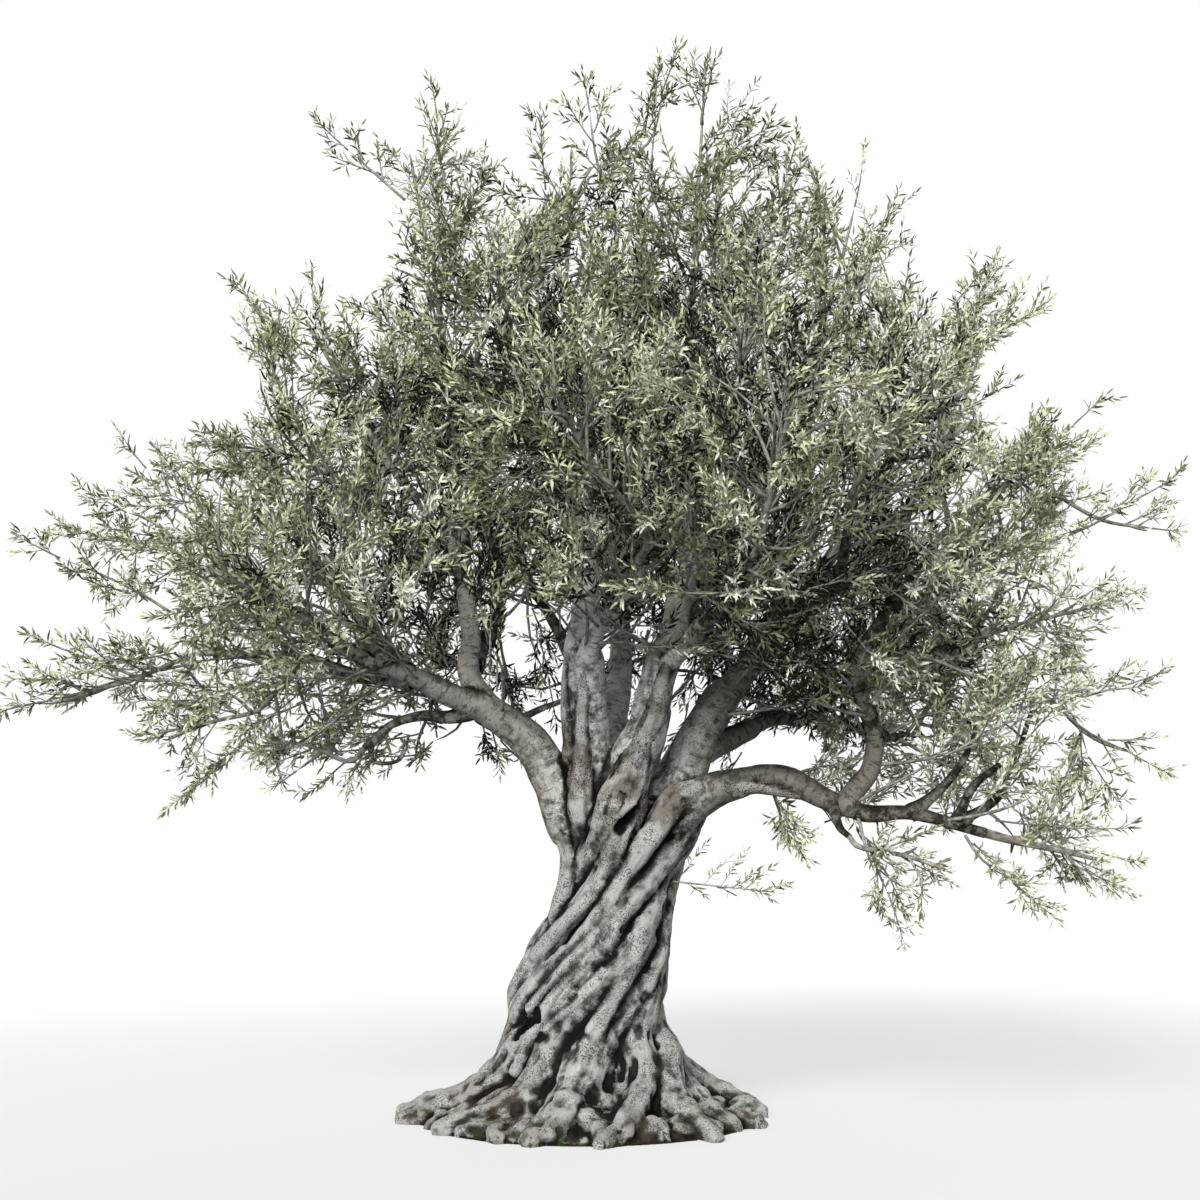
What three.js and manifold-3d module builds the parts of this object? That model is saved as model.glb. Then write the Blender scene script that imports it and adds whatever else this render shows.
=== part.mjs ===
// An old olive tree: a twisted trunk on a broad root flare, spreading boughs and airy masses of foliage.
// Millimetres, +Z up. The ground is Z = 0 and the middle of the trunk's flat cut is the origin.
import * as THREE from 'three';
import { mergeVertices } from 'three/addons/utils/BufferGeometryUtils.js';
import Module from 'manifold-3d';

const wasm = await Module();
wasm.setup();

// ---- driving sizes -------------------------------------------------------------------------------

const JOINT_GAP = 0.3;
const SLIVER = 0.2;
const TOUCHING = 0.05;
const CORNER_SHIFT = 1;
const LIMB_CLEARANCE = 9;
const COLLAR_CLEARANCE = 14;

const TRUNK_TOP = 1600;
const TRUNK_LEAN = 220;
const LEAN_STARTS = 450;
const LEAN_ENDS = 1500;
const TRUNK_TWIST = THREE.MathUtils.degToRad(165);
const FLARE_TOP = 420;
const NECK_RADIUS = 395;
const WAIST_HEIGHT = 1180;
const WAIST_RADIUS = 300;
const CROTCH_RADIUS = 400;
const STRAND_COUNT = 8;
const TOE_REACH = 950;

const SPRAY_LENGTH = 620;
const SPRAY_WIDTH = 0.38;
const SPRAY_THICKNESS = 0.05;
const TWIGS_PER_MASS = 4;
const TWIG_SHARE = 0.52;
const LEAST_TWIG = 90;
const LEAST_SPRAY_SHARE = 0.58;
const GOLDEN_ANGLE = 2.39996;

// Each bough: the limb it leaves, its radius at both ends and the places it passes through.
const BOUGHS = {
  left_main: { from: 'trunk', girth: [145, 30, 1.6], path: [
    [20, -20, 1330], [-205, -80, 1720], [-350, -120, 1930], [-700, -250, 2110], [-1140, -470, 2290],
    [-1360, -650, 2450]] },
  left_reach: { from: 'left_main', girth: [42, 17], path: [
    [-860, -320, 2180], [-1200, -200, 2220], [-1460, -150, 2310], [-1790, -200, 2310]] },
  left_drop: { from: 'left_reach', girth: [22, 13], path: [
    [-1440, -150, 2305], [-1530, -60, 2190], [-1630, 0, 2110]] },
  left_low: { from: 'left_main', girth: [38, 15], path: [
    [-540, -190, 2060], [-700, -150, 2010], [-850, -100, 2010], [-1010, -100, 1960], [-1130, -100, 1850]] },
  left_high: { from: 'left_main', girth: [42, 18], path: [
    [-900, -345, 2200], [-1110, -50, 2440], [-1340, 250, 2700], [-1570, 450, 2980]] },
  left_upright: { from: 'left_main', girth: [38, 17], path: [
    [-1000, -395, 2240], [-1080, -450, 2430], [-1150, -420, 2690], [-1200, -300, 3060]] },
  left_rising: { from: 'left_main', girth: [66, 24], path: [
    [-480, -170, 2010], [-600, -120, 2230], [-610, -60, 2440], [-700, 0, 2890], [-980, 0, 3260]] },
  left_back: { from: 'left_rising', girth: [46, 20], path: [
    [-600, -105, 2270], [-530, 150, 2440], [-480, 350, 2660], [-560, 700, 3100]] },
  left_crown: { from: 'left_rising', girth: [34, 16], path: [
    [-640, -30, 2700], [-650, 120, 3060], [-710, 150, 3490], [-790, 100, 4140]] },
  centre_left: { from: 'trunk', girth: [118, 34, 0.8], path: [
    [80, -50, 1440], [10, -140, 1760], [-30, -200, 2010], [-20, -220, 2350], [0, -100, 2660],
    [-150, 50, 3310]] },
  centre_front: { from: 'centre_left', girth: [58, 22], path: [
    [-30, -225, 2240], [80, -450, 2440], [220, -750, 2560], [250, -1000, 2680]] },
  top_left: { from: 'centre_left', girth: [36, 16], path: [
    [-20, -70, 2750], [10, 150, 3280], [-20, 200, 3780], [-90, 200, 4220]] },
  centre_back: { from: 'trunk', girth: [88, 32], path: [
    [130, 80, 1440], [130, 120, 1770], [140, 170, 2030], [180, 420, 2620], [120, 800, 3400]] },
  centre_right: { from: 'trunk', girth: [112, 32, 0.8], path: [
    [180, -80, 1410], [210, -200, 1680], [270, -270, 1900], [370, -310, 2200], [460, -300, 2530],
    [680, -280, 3090]] },
  front_right: { from: 'centre_right', girth: [54, 21], path: [
    [385, -310, 2250], [550, -600, 2400], [680, -900, 2500], [740, -1150, 2630]] },
  top_centre: { from: 'centre_right', girth: [38, 16], path: [
    [510, -300, 2650], [530, -50, 3190], [530, 100, 3700], [550, 100, 4140]] },
  right_main: { from: 'trunk', girth: [110, 30], path: [
    [270, 50, 1330], [490, 20, 1740], [610, 40, 1990], [900, 80, 2350], [1250, -50, 2820]] },
  top_right: { from: 'right_main', girth: [44, 18], path: [
    [820, 75, 2260], [1030, 300, 2710], [1130, 450, 3230], [1160, 400, 3660]] },
  right_front: { from: 'right_main', girth: [42, 18], path: [
    [1020, 60, 2480], [1210, -350, 2620], [1240, -700, 2770], [1240, -950, 2920]] },
  low_right: { from: 'trunk', girth: [125, 26, 1.6], path: [
    [320, -60, 1330], [570, -160, 1610], [790, -250, 1670], [1010, -300, 1670], [1330, -400, 1520],
    [1600, -420, 1510], [1950, -360, 1420]] },
  right_rising: { from: 'low_right', girth: [52, 20], path: [
    [1270, -380, 1560], [1390, -400, 1760], [1400, -420, 1930], [1330, -460, 2110], [1350, -500, 2320],
    [1710, -300, 2790]] },
  right_reach: { from: 'right_rising', girth: [26, 12], path: [
    [1325, -470, 2180], [1510, -420, 2300], [1740, -300, 2330], [1980, -200, 2410]] },
  right_inner: { from: 'right_rising', girth: [30, 14], path: [
    [1400, -420, 1900], [1530, -250, 1890], [1630, -60, 1920]] },
  right_spray: { from: 'right_rising', girth: [28, 13], path: [
    [1490, -460, 2530], [1710, -380, 2600], [2020, -200, 2860], [2290, -100, 3080]] },
  right_lower: { from: 'low_right', girth: [26, 13], path: [
    [1820, -395, 1470], [2040, -300, 1610], [2160, -200, 1810], [2260, -100, 2030]] },
  right_under: { from: 'low_right', girth: [28, 14], path: [
    [1190, -365, 1590], [1220, -500, 1450], [1260, -580, 1400]] },
  back_right: { from: 'trunk', girth: [78, 26], path: [
    [320, 120, 1440], [560, 330, 1800], [940, 600, 2020], [1210, 850, 2060], [1440, 1150, 2230]] },
  back_left: { from: 'trunk', girth: [74, 24], path: [
    [140, 160, 1440], [110, 420, 1800], [-30, 800, 2270], [-330, 1250, 2850]] },
  back_main: { from: 'trunk', girth: [78, 26], path: [
    [230, 180, 1440], [330, 500, 1840], [450, 950, 2280], [540, 1350, 2790]] },
};

// Bare snags that stand on a bough as part of it.
const SNAGS = {
  hook: { on: 'left_low', girth: [15, 7], path: [
    [-1070, -105, 1915], [-1095, -150, 1810], [-1050, -165, 1770], [-940, -160, 1790], [-900, -150, 1910]] },
  inner_twig: { on: 'left_main', girth: [26, 13], path: [
    [-360, -130, 1940], [-330, 60, 2010], [-260, 160, 2060], [-140, 240, 2110]] },
  horn: { on: 'low_right', girth: [30, 8], path: [
    [1570, -420, 1510], [1730, -440, 1640], [1840, -450, 1780], [1900, -450, 1910], [1860, -450, 1960]] },
  stub: { on: 'low_right', girth: [24, 17], path: [
    [1800, -400, 1470], [1880, -450, 1640], [2010, -470, 1750]] },
};

// Each mass of foliage: the bough it grows on from, its furthest tip and its half width.
const MASSES = {
  left_front: { on: 'left_main', tip: [-1800, -1250, 2650], width: 450 },
  left_arm: { on: 'left_reach', tip: [-2900, -350, 2010], width: 290 },
  left_skirt: { on: 'left_drop', tip: [-2330, 50, 1830], width: 300 },
  left_fringe: { on: 'left_low', tip: [-1790, -150, 1880], width: 250 },
  left_middle: { on: 'left_high', tip: [-2970, 350, 3000], width: 470 },
  left_upper: { on: 'left_upright', tip: [-1850, -450, 3560], width: 500 },
  left_shoulder: { on: 'left_rising', tip: [-1640, 100, 4350], width: 500 },
  left_behind: { on: 'left_back', tip: [-1350, 1500, 4150], width: 600 },
  crown_left: { on: 'left_crown', tip: [-1000, 0, 5290], width: 440 },
  heart_left: { on: 'centre_left', tip: [-560, -850, 4200], width: 600 },
  front_middle: { on: 'centre_front', tip: [-260, -2000, 3520], width: 640 },
  crown_top_left: { on: 'top_left', tip: [-90, 0, 5330], width: 500 },
  back_middle: { on: 'centre_back', tip: [300, 1750, 4850], width: 680 },
  heart_right: { on: 'centre_right', tip: [800, -850, 4050], width: 500 },
  front_corner: { on: 'front_right', tip: [950, -2000, 3480], width: 580 },
  crown_top: { on: 'top_centre', tip: [640, 100, 5590], width: 500 },
  right_high: { on: 'right_main', tip: [2200, -100, 4430], width: 580 },
  crown_right: { on: 'top_right', tip: [1560, 350, 5190], width: 500 },
  right_corner: { on: 'right_front', tip: [1620, -1600, 3600], width: 540 },
  right_hem: { on: 'low_right', tip: [2790, -200, 1230], width: 340 },
  right_middle: { on: 'right_rising', tip: [2720, 0, 3700], width: 400 },
  right_arm: { on: 'right_reach', tip: [2930, -100, 2660], width: 310 },
  right_tip: { on: 'right_spray', tip: [3140, 100, 2980], width: 210 },
  right_heart: { on: 'right_inner', tip: [2050, 400, 2450], width: 440 },
  right_side: { on: 'right_lower', tip: [2980, 200, 1780], width: 360 },
  right_fringe: { on: 'right_under', tip: [1830, -750, 1200], width: 260 },
  back_right: { on: 'back_right', tip: [2160, 2100, 3140], width: 640 },
  back_left: { on: 'back_left', tip: [-1150, 2200, 3200], width: 580 },
  back_far: { on: 'back_main', tip: [720, 2550, 3800], width: 620 },
};

const SPRIG = { foot: [430, -150, 1180], tip: [1090, -200, 1110], width: 190 };

// ---- small helpers -------------------------------------------------------------------------------

const vector = ([x, y, z]) => new THREE.Vector3(x, y, z);

function smoothStep(from, to, value) {
  return THREE.MathUtils.smoothstep(value, from, to);
}

/** Seeded random numbers between 0 and 1. */
function seededRandom(seed) {
  let state = seed >>> 0;
  return () => {
    state = (state + 0x6d2b79f5) >>> 0;
    let mixed = Math.imul(state ^ (state >>> 15), 1 | state);
    mixed = (mixed + Math.imul(mixed ^ (mixed >>> 7), 61 | mixed)) ^ mixed;
    return ((mixed ^ (mixed >>> 14)) >>> 0) / 4294967296;
  };
}

/** A unit vector square to the given direction. */
function squareTo(direction) {
  const flat = Math.abs(direction.z) > 0.9;
  const reference = flat ? new THREE.Vector3(1, 0, 0) : new THREE.Vector3(0, 0, 1);
  return reference.cross(direction).normalize();
}

/** A closed geometry as a Manifold solid, with faces of no area left out. */
function toSolid(geometry) {
  const bare = geometry.clone();
  bare.deleteAttribute('normal');
  bare.deleteAttribute('uv');
  const merged = mergeVertices(bare, 1e-3);
  const index = merged.index.array;
  const faces = [];
  for (let i = 0; i < index.length; i += 3) {
    const [a, b, c] = [index[i], index[i + 1], index[i + 2]];
    if (a !== b && b !== c && c !== a) faces.push(a, b, c);
  }
  return new wasm.Manifold(new wasm.Mesh({
    numProp: 3,
    vertProperties: new Float32Array(merged.attributes.position.array),
    triVerts: new Uint32Array(faces),
  }));
}

/** The largest connected body of a solid: slivers, scraps and sealed hollows are dropped. */
function mainBody(solid) {
  const bodies = solid.simplify(SLIVER).decompose();
  return bodies.reduce((best, body) => (body.volume() > best.volume() ? body : best));
}

/** Draws corners that touch without being joined a little way back into their own faces. */
function partTouchingCorners(corners, triangles) {
  const neighbours = corners.map(() => new THREE.Vector3());
  const counts = corners.map(() => 0);
  triangles.forEach((corner, i) => {
    const next = triangles[i % 3 === 2 ? i - 2 : i + 1];
    neighbours[corner].add(corners[next]);
    counts[corner] += 1;
  });
  const touching = corners.map((corner, i) => (
    corners.some((other, j) => i !== j && corner.distanceTo(other) < TOUCHING)
  ));
  return corners.map((corner, i) => {
    if (!touching[i]) return corner;
    const inward = neighbours[i].clone().divideScalar(counts[i]).sub(corner).setLength(CORNER_SHIFT);
    return corner.clone().add(inward);
  });
}

function toGeometry(solid) {
  const { vertProperties, triVerts } = solid.getMesh();
  const corners = Array.from({ length: vertProperties.length / 3 }, (_, i) => (
    new THREE.Vector3().fromArray(vertProperties, 3 * i)
  ));
  const geometry = new THREE.BufferGeometry();
  geometry.setFromPoints(partTouchingCorners(corners, triVerts));
  geometry.setIndex(new THREE.BufferAttribute(new Uint32Array(triVerts), 1));
  geometry.computeVertexNormals();
  return geometry;
}

// ---- limbs ---------------------------------------------------------------------------------------

const throughPoints = (points) => new THREE.CatmullRomCurve3(points.map(vector), false, 'catmullrom', 0.5);

/** Rings along part of a curve: centre, heading and two side directions that never flip. */
function ringFrames(curve, from, to, count) {
  let side = squareTo(curve.getTangentAt(from));
  return Array.from({ length: count }, (_, i) => {
    const place = Math.min(from + ((to - from) * i) / (count - 1), 1);
    const heading = curve.getTangentAt(place);
    side = side.clone().addScaledVector(heading, -side.dot(heading)).normalize();
    return { centre: curve.getPointAt(place), heading, side, lift: side.clone().cross(heading) };
  });
}

/**
 * A closed limb, turned on a lathe and bent to follow the given frames.
 * A ring is a radius, or its half width to the side and its half thickness.
 */
function bentLimb(frames, rings, sides) {
  const profile = [new THREE.Vector2(0, 0)];
  rings.forEach((_, i) => profile.push(new THREE.Vector2(1, i)));
  profile.push(new THREE.Vector2(0, rings.length - 1));
  const geometry = new THREE.LatheGeometry(profile, sides);
  const position = geometry.attributes.position;
  for (let i = 0; i < position.count; i += 1) {
    const number = Math.round(position.getY(i));
    const frame = frames[number];
    const [wide, thick] = [rings[number]].flat();
    const point = frame.centre.clone()
      .addScaledVector(frame.side, position.getX(i) * wide)
      .addScaledVector(frame.lift, position.getZ(i) * (thick ?? wide));
    position.setXYZ(i, point.x, point.y, point.z);
  }
  return toSolid(geometry);
}

/** Radius of a limb at a place from 0 at its foot to 1 at its tip; a higher taper thins it sooner. */
function girthAt([foot, tip, taper = 1], place) {
  return tip + (foot - tip) * (1 - place) ** taper;
}

/** A tapering limb along a curve between two places on it. */
function taperedLimb(curve, girth, from, to, rings, sides) {
  const frames = ringFrames(curve, from, to, rings);
  const radii = frames.map((_, i) => girthAt(girth, from + ((to - from) * i) / (rings - 1)));
  return bentLimb(frames, radii, sides);
}

// ---- where the limbs are -------------------------------------------------------------------------

function leanAt(height) {
  return TRUNK_LEAN * smoothStep(LEAN_STARTS, LEAN_ENDS, height);
}

/** Outer radius of the trunk above its flare. */
function trunkRadius(height) {
  if (height < WAIST_HEIGHT) {
    return THREE.MathUtils.lerp(NECK_RADIUS, WAIST_RADIUS, smoothStep(FLARE_TOP, WAIST_HEIGHT, height));
  }
  const above = (height - WAIST_HEIGHT) / (TRUNK_TOP - WAIST_HEIGHT);
  return THREE.MathUtils.lerp(WAIST_RADIUS, CROTCH_RADIUS, above ** 1.5);
}

/** Places along a limb with its radius there, for keeping other things clear of it. */
function samplesAlong(name, curve, girth) {
  const count = Math.ceil(curve.getLength() / 30);
  return Array.from({ length: count + 1 }, (_, i) => (
    { limb: name, point: curve.getPointAt(i / count), radius: girthAt(girth, i / count) }
  ));
}

const boughCurves = Object.fromEntries(
  Object.entries(BOUGHS).map(([name, bough]) => [name, throughPoints(bough.path)]),
);

const limbSamples = Object.entries(BOUGHS).flatMap(
  ([name, bough]) => samplesAlong(name, boughCurves[name], bough.girth),
);
for (const snag of Object.values(SNAGS)) {
  limbSamples.push(...samplesAlong(snag.on, throughPoints(snag.path), snag.girth));
}
for (let height = 0; height <= TRUNK_TOP; height += 50) {
  const point = new THREE.Vector3(leanAt(height), 0, height);
  limbSamples.push({ limb: 'trunk', point, radius: trunkRadius(height) });
}

/** How far along its curve a bough must run before its ring stands clear of every other limb. */
function collarEnd(name) {
  const bough = BOUGHS[name];
  const curve = boughCurves[name];
  const length = curve.getLength();
  const others = limbSamples.filter((sample) => sample.limb !== name && BOUGHS[sample.limb]?.from !== name);
  for (let along = 20; along < length; along += 5) {
    const place = along / length;
    const [ring] = ringFrames(curve, place, 1, 2);
    const radius = girthAt(bough.girth, place);
    const clear = others.every(({ point, radius: otherRadius }) => {
      const toOther = point.clone().sub(ring.centre);
      const alongAxis = toOther.dot(ring.heading);
      const sideways = Math.sqrt(Math.max(toOther.lengthSq() - alongAxis * alongAxis, 0));
      const nearest = Math.hypot(alongAxis, Math.max(sideways - radius, 0));
      return nearest > otherRadius + COLLAR_CLEARANCE;
    });
    if (clear) return place;
  }
  throw new Error(`bough ${name} never stands clear`);
}

const collarPlaces = Object.fromEntries(Object.keys(BOUGHS).map((name) => [name, collarEnd(name)]));

/** The collar that a limb carries for a bough that leaves it, from inside the limb to a flat end. */
function collar(name) {
  const { girth } = BOUGHS[name];
  return taperedLimb(boughCurves[name], girth, 0, collarPlaces[name], 3, sidesFor(girth));
}

function sidesFor([foot]) {
  if (foot > 60) return 7;
  return foot > 40 ? 6 : 5;
}

const childrenOf = (name) => Object.keys(BOUGHS).filter((key) => BOUGHS[key].from === name);

// ---- trunk ---------------------------------------------------------------------------------------

/** One twisted strand of the trunk, from a toe of the flare up into the crotch. */
function strand(number, random) {
  const foot = (number / STRAND_COUNT) * 2 * Math.PI + (random() - 0.5) * 0.2;
  const thickness = 0.9 + 0.25 * random();
  const reach = TOE_REACH * (0.9 + 0.12 * random());
  const toe = [[reach, 15, 66], [0.78 * reach, 70, 104], [0.56 * reach, 175, 122]];
  const rings = toe.map(([out, height, girth]) => ({ out, height, girth: girth * thickness }));
  for (let height = 330; height <= TRUNK_TOP + 20; height += 240) {
    const girth = (height > TRUNK_TOP - 50 ? 0.2 : 0.38) * thickness * trunkRadius(height);
    const outer = height < FLARE_TOP ? NECK_RADIUS + 60 : trunkRadius(height);
    rings.push({ out: outer - girth, height, girth });
  }
  const points = rings.map(({ out, height }) => {
    const angle = foot + (TRUNK_TWIST * height) / TRUNK_TOP;
    return [leanAt(height) + out * Math.cos(angle), out * Math.sin(angle), height];
  });
  const curve = throughPoints(points);
  const frames = points.map((point, i) => {
    const heading = curve.getTangent(i / (points.length - 1));
    const side = squareTo(heading);
    return { centre: vector(point), heading, side, lift: side.clone().cross(heading) };
  });
  return bentLimb(frames, rings.map((ring) => ring.girth), 5);
}

/** A short root between two strands that fills the flare out. */
function sideToe(number, random) {
  const angle = ((number + 0.5) / STRAND_COUNT) * 2 * Math.PI + 0.25 + (random() - 0.5) * 0.2;
  const reach = TOE_REACH * (0.8 + 0.16 * random());
  const rings = [[200, 260, 120], [0.55 * reach, 130, 120], [0.8 * reach, 60, 100], [reach, 10, 60]];
  const curve = throughPoints(rings.map(([out, height]) => (
    [out * Math.cos(angle), out * Math.sin(angle), height]
  )));
  const frames = rings.map((_, i) => {
    const heading = curve.getTangent(i / (rings.length - 1));
    const side = squareTo(heading);
    return { centre: curve.getPoint(i / (rings.length - 1)), heading, side, lift: side.clone().cross(heading) };
  });
  return bentLimb(frames, rings.map(([, , girth]) => girth), 5);
}

/** The solid heart of the trunk inside its strands. */
function trunkCore() {
  const rings = [
    [-60, 840], [0, 780], [110, 600], [240, 440], [460, 310], [WAIST_HEIGHT - 20, 228],
    [TRUNK_TOP - 120, 270], [TRUNK_TOP - 30, 150]];
  const frames = rings.map(([height]) => ({
    centre: new THREE.Vector3(leanAt(height), 0, height),
    side: new THREE.Vector3(1, 0, 0),
    lift: new THREE.Vector3(0, -1, 0),
  }));
  return bentLimb(frames, rings.map(([, radius]) => radius), 12);
}

function trunkGeometry() {
  const random = seededRandom(11);
  const pieces = [trunkCore()];
  for (let i = 0; i < STRAND_COUNT; i += 1) {
    pieces.push(strand(i, random), sideToe(i, random));
  }
  for (const name of childrenOf('trunk')) pieces.push(collar(name));
  const below = toSolid(new THREE.BoxGeometry(4000, 4000, 1000).translate(0, 0, -500));
  return toGeometry(mainBody(wasm.Manifold.union(pieces).subtract(below)));
}

// ---- boughs --------------------------------------------------------------------------------------

function boughGeometry(name) {
  const { girth } = BOUGHS[name];
  const curve = boughCurves[name];
  const length = curve.getLength();
  const start = collarPlaces[name];
  const rings = Math.max(4, Math.round((length * (1 - start)) / 190));
  const frames = ringFrames(curve, start, 1, rings);
  frames[0].centre.addScaledVector(frames[0].heading, JOINT_GAP);
  const radii = frames.map((_, i) => girthAt(girth, start + ((1 - start) * i) / (rings - 1)));
  const pieces = [bentLimb(frames, radii, sidesFor(girth))];
  for (const child of childrenOf(name)) pieces.push(collar(child));
  for (const snag of Object.values(SNAGS).filter((entry) => entry.on === name)) {
    pieces.push(taperedLimb(throughPoints(snag.path), snag.girth, 0, 1, 6, 4));
  }
  return toGeometry(mainBody(wasm.Manifold.union(pieces)));
}

// ---- foliage -------------------------------------------------------------------------------------

/** The spheroid that a mass keeps to, between its foot and its tip. */
function spaceOf(foot, tip, width) {
  const centre = foot.clone().add(tip).multiplyScalar(0.5);
  const axis = tip.clone().sub(foot);
  const half = axis.length() / 2;
  axis.normalize();
  return { centre, axis, half, width };
}

/** 0 at the middle of a space and 1 on its surface. */
function depthIn({ centre, axis, half, width }, point) {
  const offset = point.clone().sub(centre);
  const along = offset.dot(axis);
  const across = offset.lengthSq() - along * along;
  return (along * along) / (half * half) + across / (width * width);
}

function planMass(name, { tip, width }, foot, heading, footGirth, seed) {
  const end = vector(tip);
  const reach = end.clone().sub(foot).length();
  const start = foot.clone().addScaledVector(heading, JOINT_GAP);
  const path = [
    start,
    start.clone().addScaledVector(heading, 0.16 * reach),
    start.clone().lerp(end, 0.45),
    start.clone().lerp(end, 0.78),
  ];
  const stem = new THREE.CatmullRomCurve3(path, false, 'catmullrom', 0.5);
  return { name, stem, girth: [footGirth, 8], space: spaceOf(foot, end, width), seed };
}

const masses = Object.entries(MASSES).map(([name, mass], i) => {
  const curve = boughCurves[mass.on];
  return planMass(name, mass, curve.getPointAt(1), curve.getTangentAt(1), BOUGHS[mass.on].girth[1], 100 + i);
});

const sprigFoot = vector(SPRIG.foot);
const sprigHeading = vector(SPRIG.tip).sub(sprigFoot).normalize();
masses.push(planMass('trunk_sprig', SPRIG, sprigFoot, sprigHeading, 12, 90));

for (const { name, stem, girth } of masses) {
  limbSamples.push(...samplesAlong(`stem of ${name}`, stem, girth));
}

/** Whether a point is in a mass's own space and clear of every limb. */
function isFree(mass, point) {
  const depth = depthIn(mass.space, point);
  if (depth > 1 || point.z < 30) return false;
  for (const other of masses) {
    if (other !== mass && depthIn(other.space, point) < depth + 0.04) return false;
  }
  const own = `stem of ${mass.name}`;
  return mass.nearby.every(({ limb, point: centre, radius }) => (
    limb === own || centre.distanceTo(point) > radius + LIMB_CLEARANCE
  ));
}

/** How far one can go from a point before leaving the free space, up to a limit. */
function freeRun(mass, from, heading, limit) {
  const step = 15;
  let run = 0;
  while (run < limit) {
    const next = from.clone().addScaledVector(heading, run + step);
    if (run >= 45 && !isFree(mass, next)) break;
    run += step;
  }
  return Math.min(run, limit);
}

/** The widest place and the point of a blade, as frames with their rings. */
function bladeEnds(foot, { heading, across, length }) {
  const lift = across.clone().cross(heading);
  const frame = (place) => (
    { centre: foot.clone().addScaledVector(heading, place * length), side: across, lift }
  );
  const widest = [(SPRAY_WIDTH * length) / Math.sqrt(3), (SPRAY_THICKNESS * length) / 1.5];
  return { frames: [frame(0.4), frame(1)], rings: [widest, 0] };
}

/** The direction and size of a spray from a foot, shortened until it fits, or null. */
function fitSpray(mass, foot, heading, across, size) {
  const level = across.clone().addScaledVector(heading, -across.dot(heading)).normalize();
  const run = freeRun(mass, foot, heading, size);
  for (const share of [1, 0.8, 0.6]) {
    const length = share * run;
    const widest = foot.clone().addScaledVector(heading, 0.4 * length);
    const edge = 0.5 * SPRAY_WIDTH * length;
    const fits = [-1, -0.5, 0.5, 1].every((side) => (
      isFree(mass, widest.clone().addScaledVector(level, side * edge))
    ));
    if (fits && length > LEAST_SPRAY_SHARE * mass.space.width) return { heading, across: level, length };
  }
  return null;
}

/** A spray at the side of a twig or stem: one pointed blade with a keel, its root sunk in the wood. */
function sideSpray(foot, spray) {
  const { frames, rings } = bladeEnds(foot, spray);
  return bentLimb([{ ...frames[0], centre: foot }, ...frames], [0, ...rings], 3);
}

/** The middle line of a limb of straight lengths between its rings. */
function middleLine(frames) {
  const line = new THREE.CurvePath();
  frames.slice(1).forEach(({ centre }, i) => line.add(new THREE.LineCurve3(frames[i].centre, centre)));
  return line;
}

/** A twig or stem that ends in a spray, with more sprays to both sides of it. */
function leafyShoot(mass, random, { frames, rings, sides, places }) {
  const shoot = middleLine(frames);
  const middle = shoot.getTangent(0.5);
  const across = squareTo(middle).applyAxisAngle(middle, random() * Math.PI);
  const pieces = [];
  places.forEach((place, i) => {
    const turn = (i % 2 === 0 ? 1 : -1) * (0.6 + 0.3 * random());
    const size = SPRAY_LENGTH * (0.85 + 0.3 * random());
    const heading = shoot.getTangent(place).addScaledVector(across, Math.tan(turn)).normalize();
    const foot = shoot.getPoint(place);
    const spray = fitSpray(mass, foot, heading, across, size);
    if (spray) pieces.push(sideSpray(foot, spray));
  });
  const end = fitSpray(mass, shoot.getPoint(1), shoot.getTangent(1), across, SPRAY_LENGTH);
  const tip = end ? bladeEnds(shoot.getPoint(1), end) : { frames: [], rings: [] };
  pieces.push(bentLimb([...frames, ...tip.frames], [...rings, ...tip.rings], sides));
  return pieces;
}

/** A side twig of the stem, or null where there is no room for it. */
function growTwig(mass, stem, number, random) {
  const place = 0.12 + (0.8 * (number + 0.5)) / TWIGS_PER_MASS;
  const foot = stem.getPoint(place);
  const onward = stem.getTangent(place);
  const outward = squareTo(onward).applyAxisAngle(onward, mass.seed + number * GOLDEN_ANGLE);
  const spread = THREE.MathUtils.lerp(1.15, 0.75, place) + 0.3 * (random() - 0.5);
  const heading = onward.clone().multiplyScalar(Math.cos(spread)).addScaledVector(outward, Math.sin(spread));
  const length = TWIG_SHARE * freeRun(mass, foot, heading, 2 * mass.space.width);
  if (length < LEAST_TWIG) return null;
  const twig = new THREE.LineCurve3(foot, foot.clone().addScaledVector(heading, length));
  const free = [0.4, 0.6, 0.8, 1].every((share) => isFree(mass, twig.getPoint(share)));
  return free ? twig : null;
}

function foliageGeometry(mass) {
  const reach = mass.space.half + mass.space.width + 150;
  mass.nearby = limbSamples.filter(({ point, radius }) => point.distanceTo(mass.space.centre) < reach + radius);
  const random = seededRandom(mass.seed);
  const frames = ringFrames(mass.stem, 0, 1, 4);
  const rings = frames.map((_, i) => girthAt(mass.girth, i / (frames.length - 1)));
  const pieces = leafyShoot(mass, random, { frames, rings, sides: 4, places: [0.3, 0.52, 0.78] });
  const stem = middleLine(frames);
  for (let i = 0; i < TWIGS_PER_MASS; i += 1) {
    const twigRandom = seededRandom(mass.seed * 31 + i);
    const twig = growTwig(mass, stem, i, twigRandom);
    if (twig) {
      const shoot = { frames: ringFrames(twig, 0, 1, 2), rings: [13, 8], sides: 3, places: [0.35, 0.75] };
      pieces.push(...leafyShoot(mass, twigRandom, shoot));
    }
  }
  return toGeometry(mainBody(wasm.Manifold.union(pieces)));
}

// ---- materials and assembly ----------------------------------------------------------------------

function material(name, color, roughness) {
  return new THREE.MeshStandardMaterial({ name, color, roughness, metalness: 0 });
}

const trunkBark = () => material('trunk_bark', 0x96908a, 0.92);
const boughBark = () => material('bough_bark', 0xa39d94, 0.9);
const foliageGreen = () => material('foliage', 0x84876a, 0.75);

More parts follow.
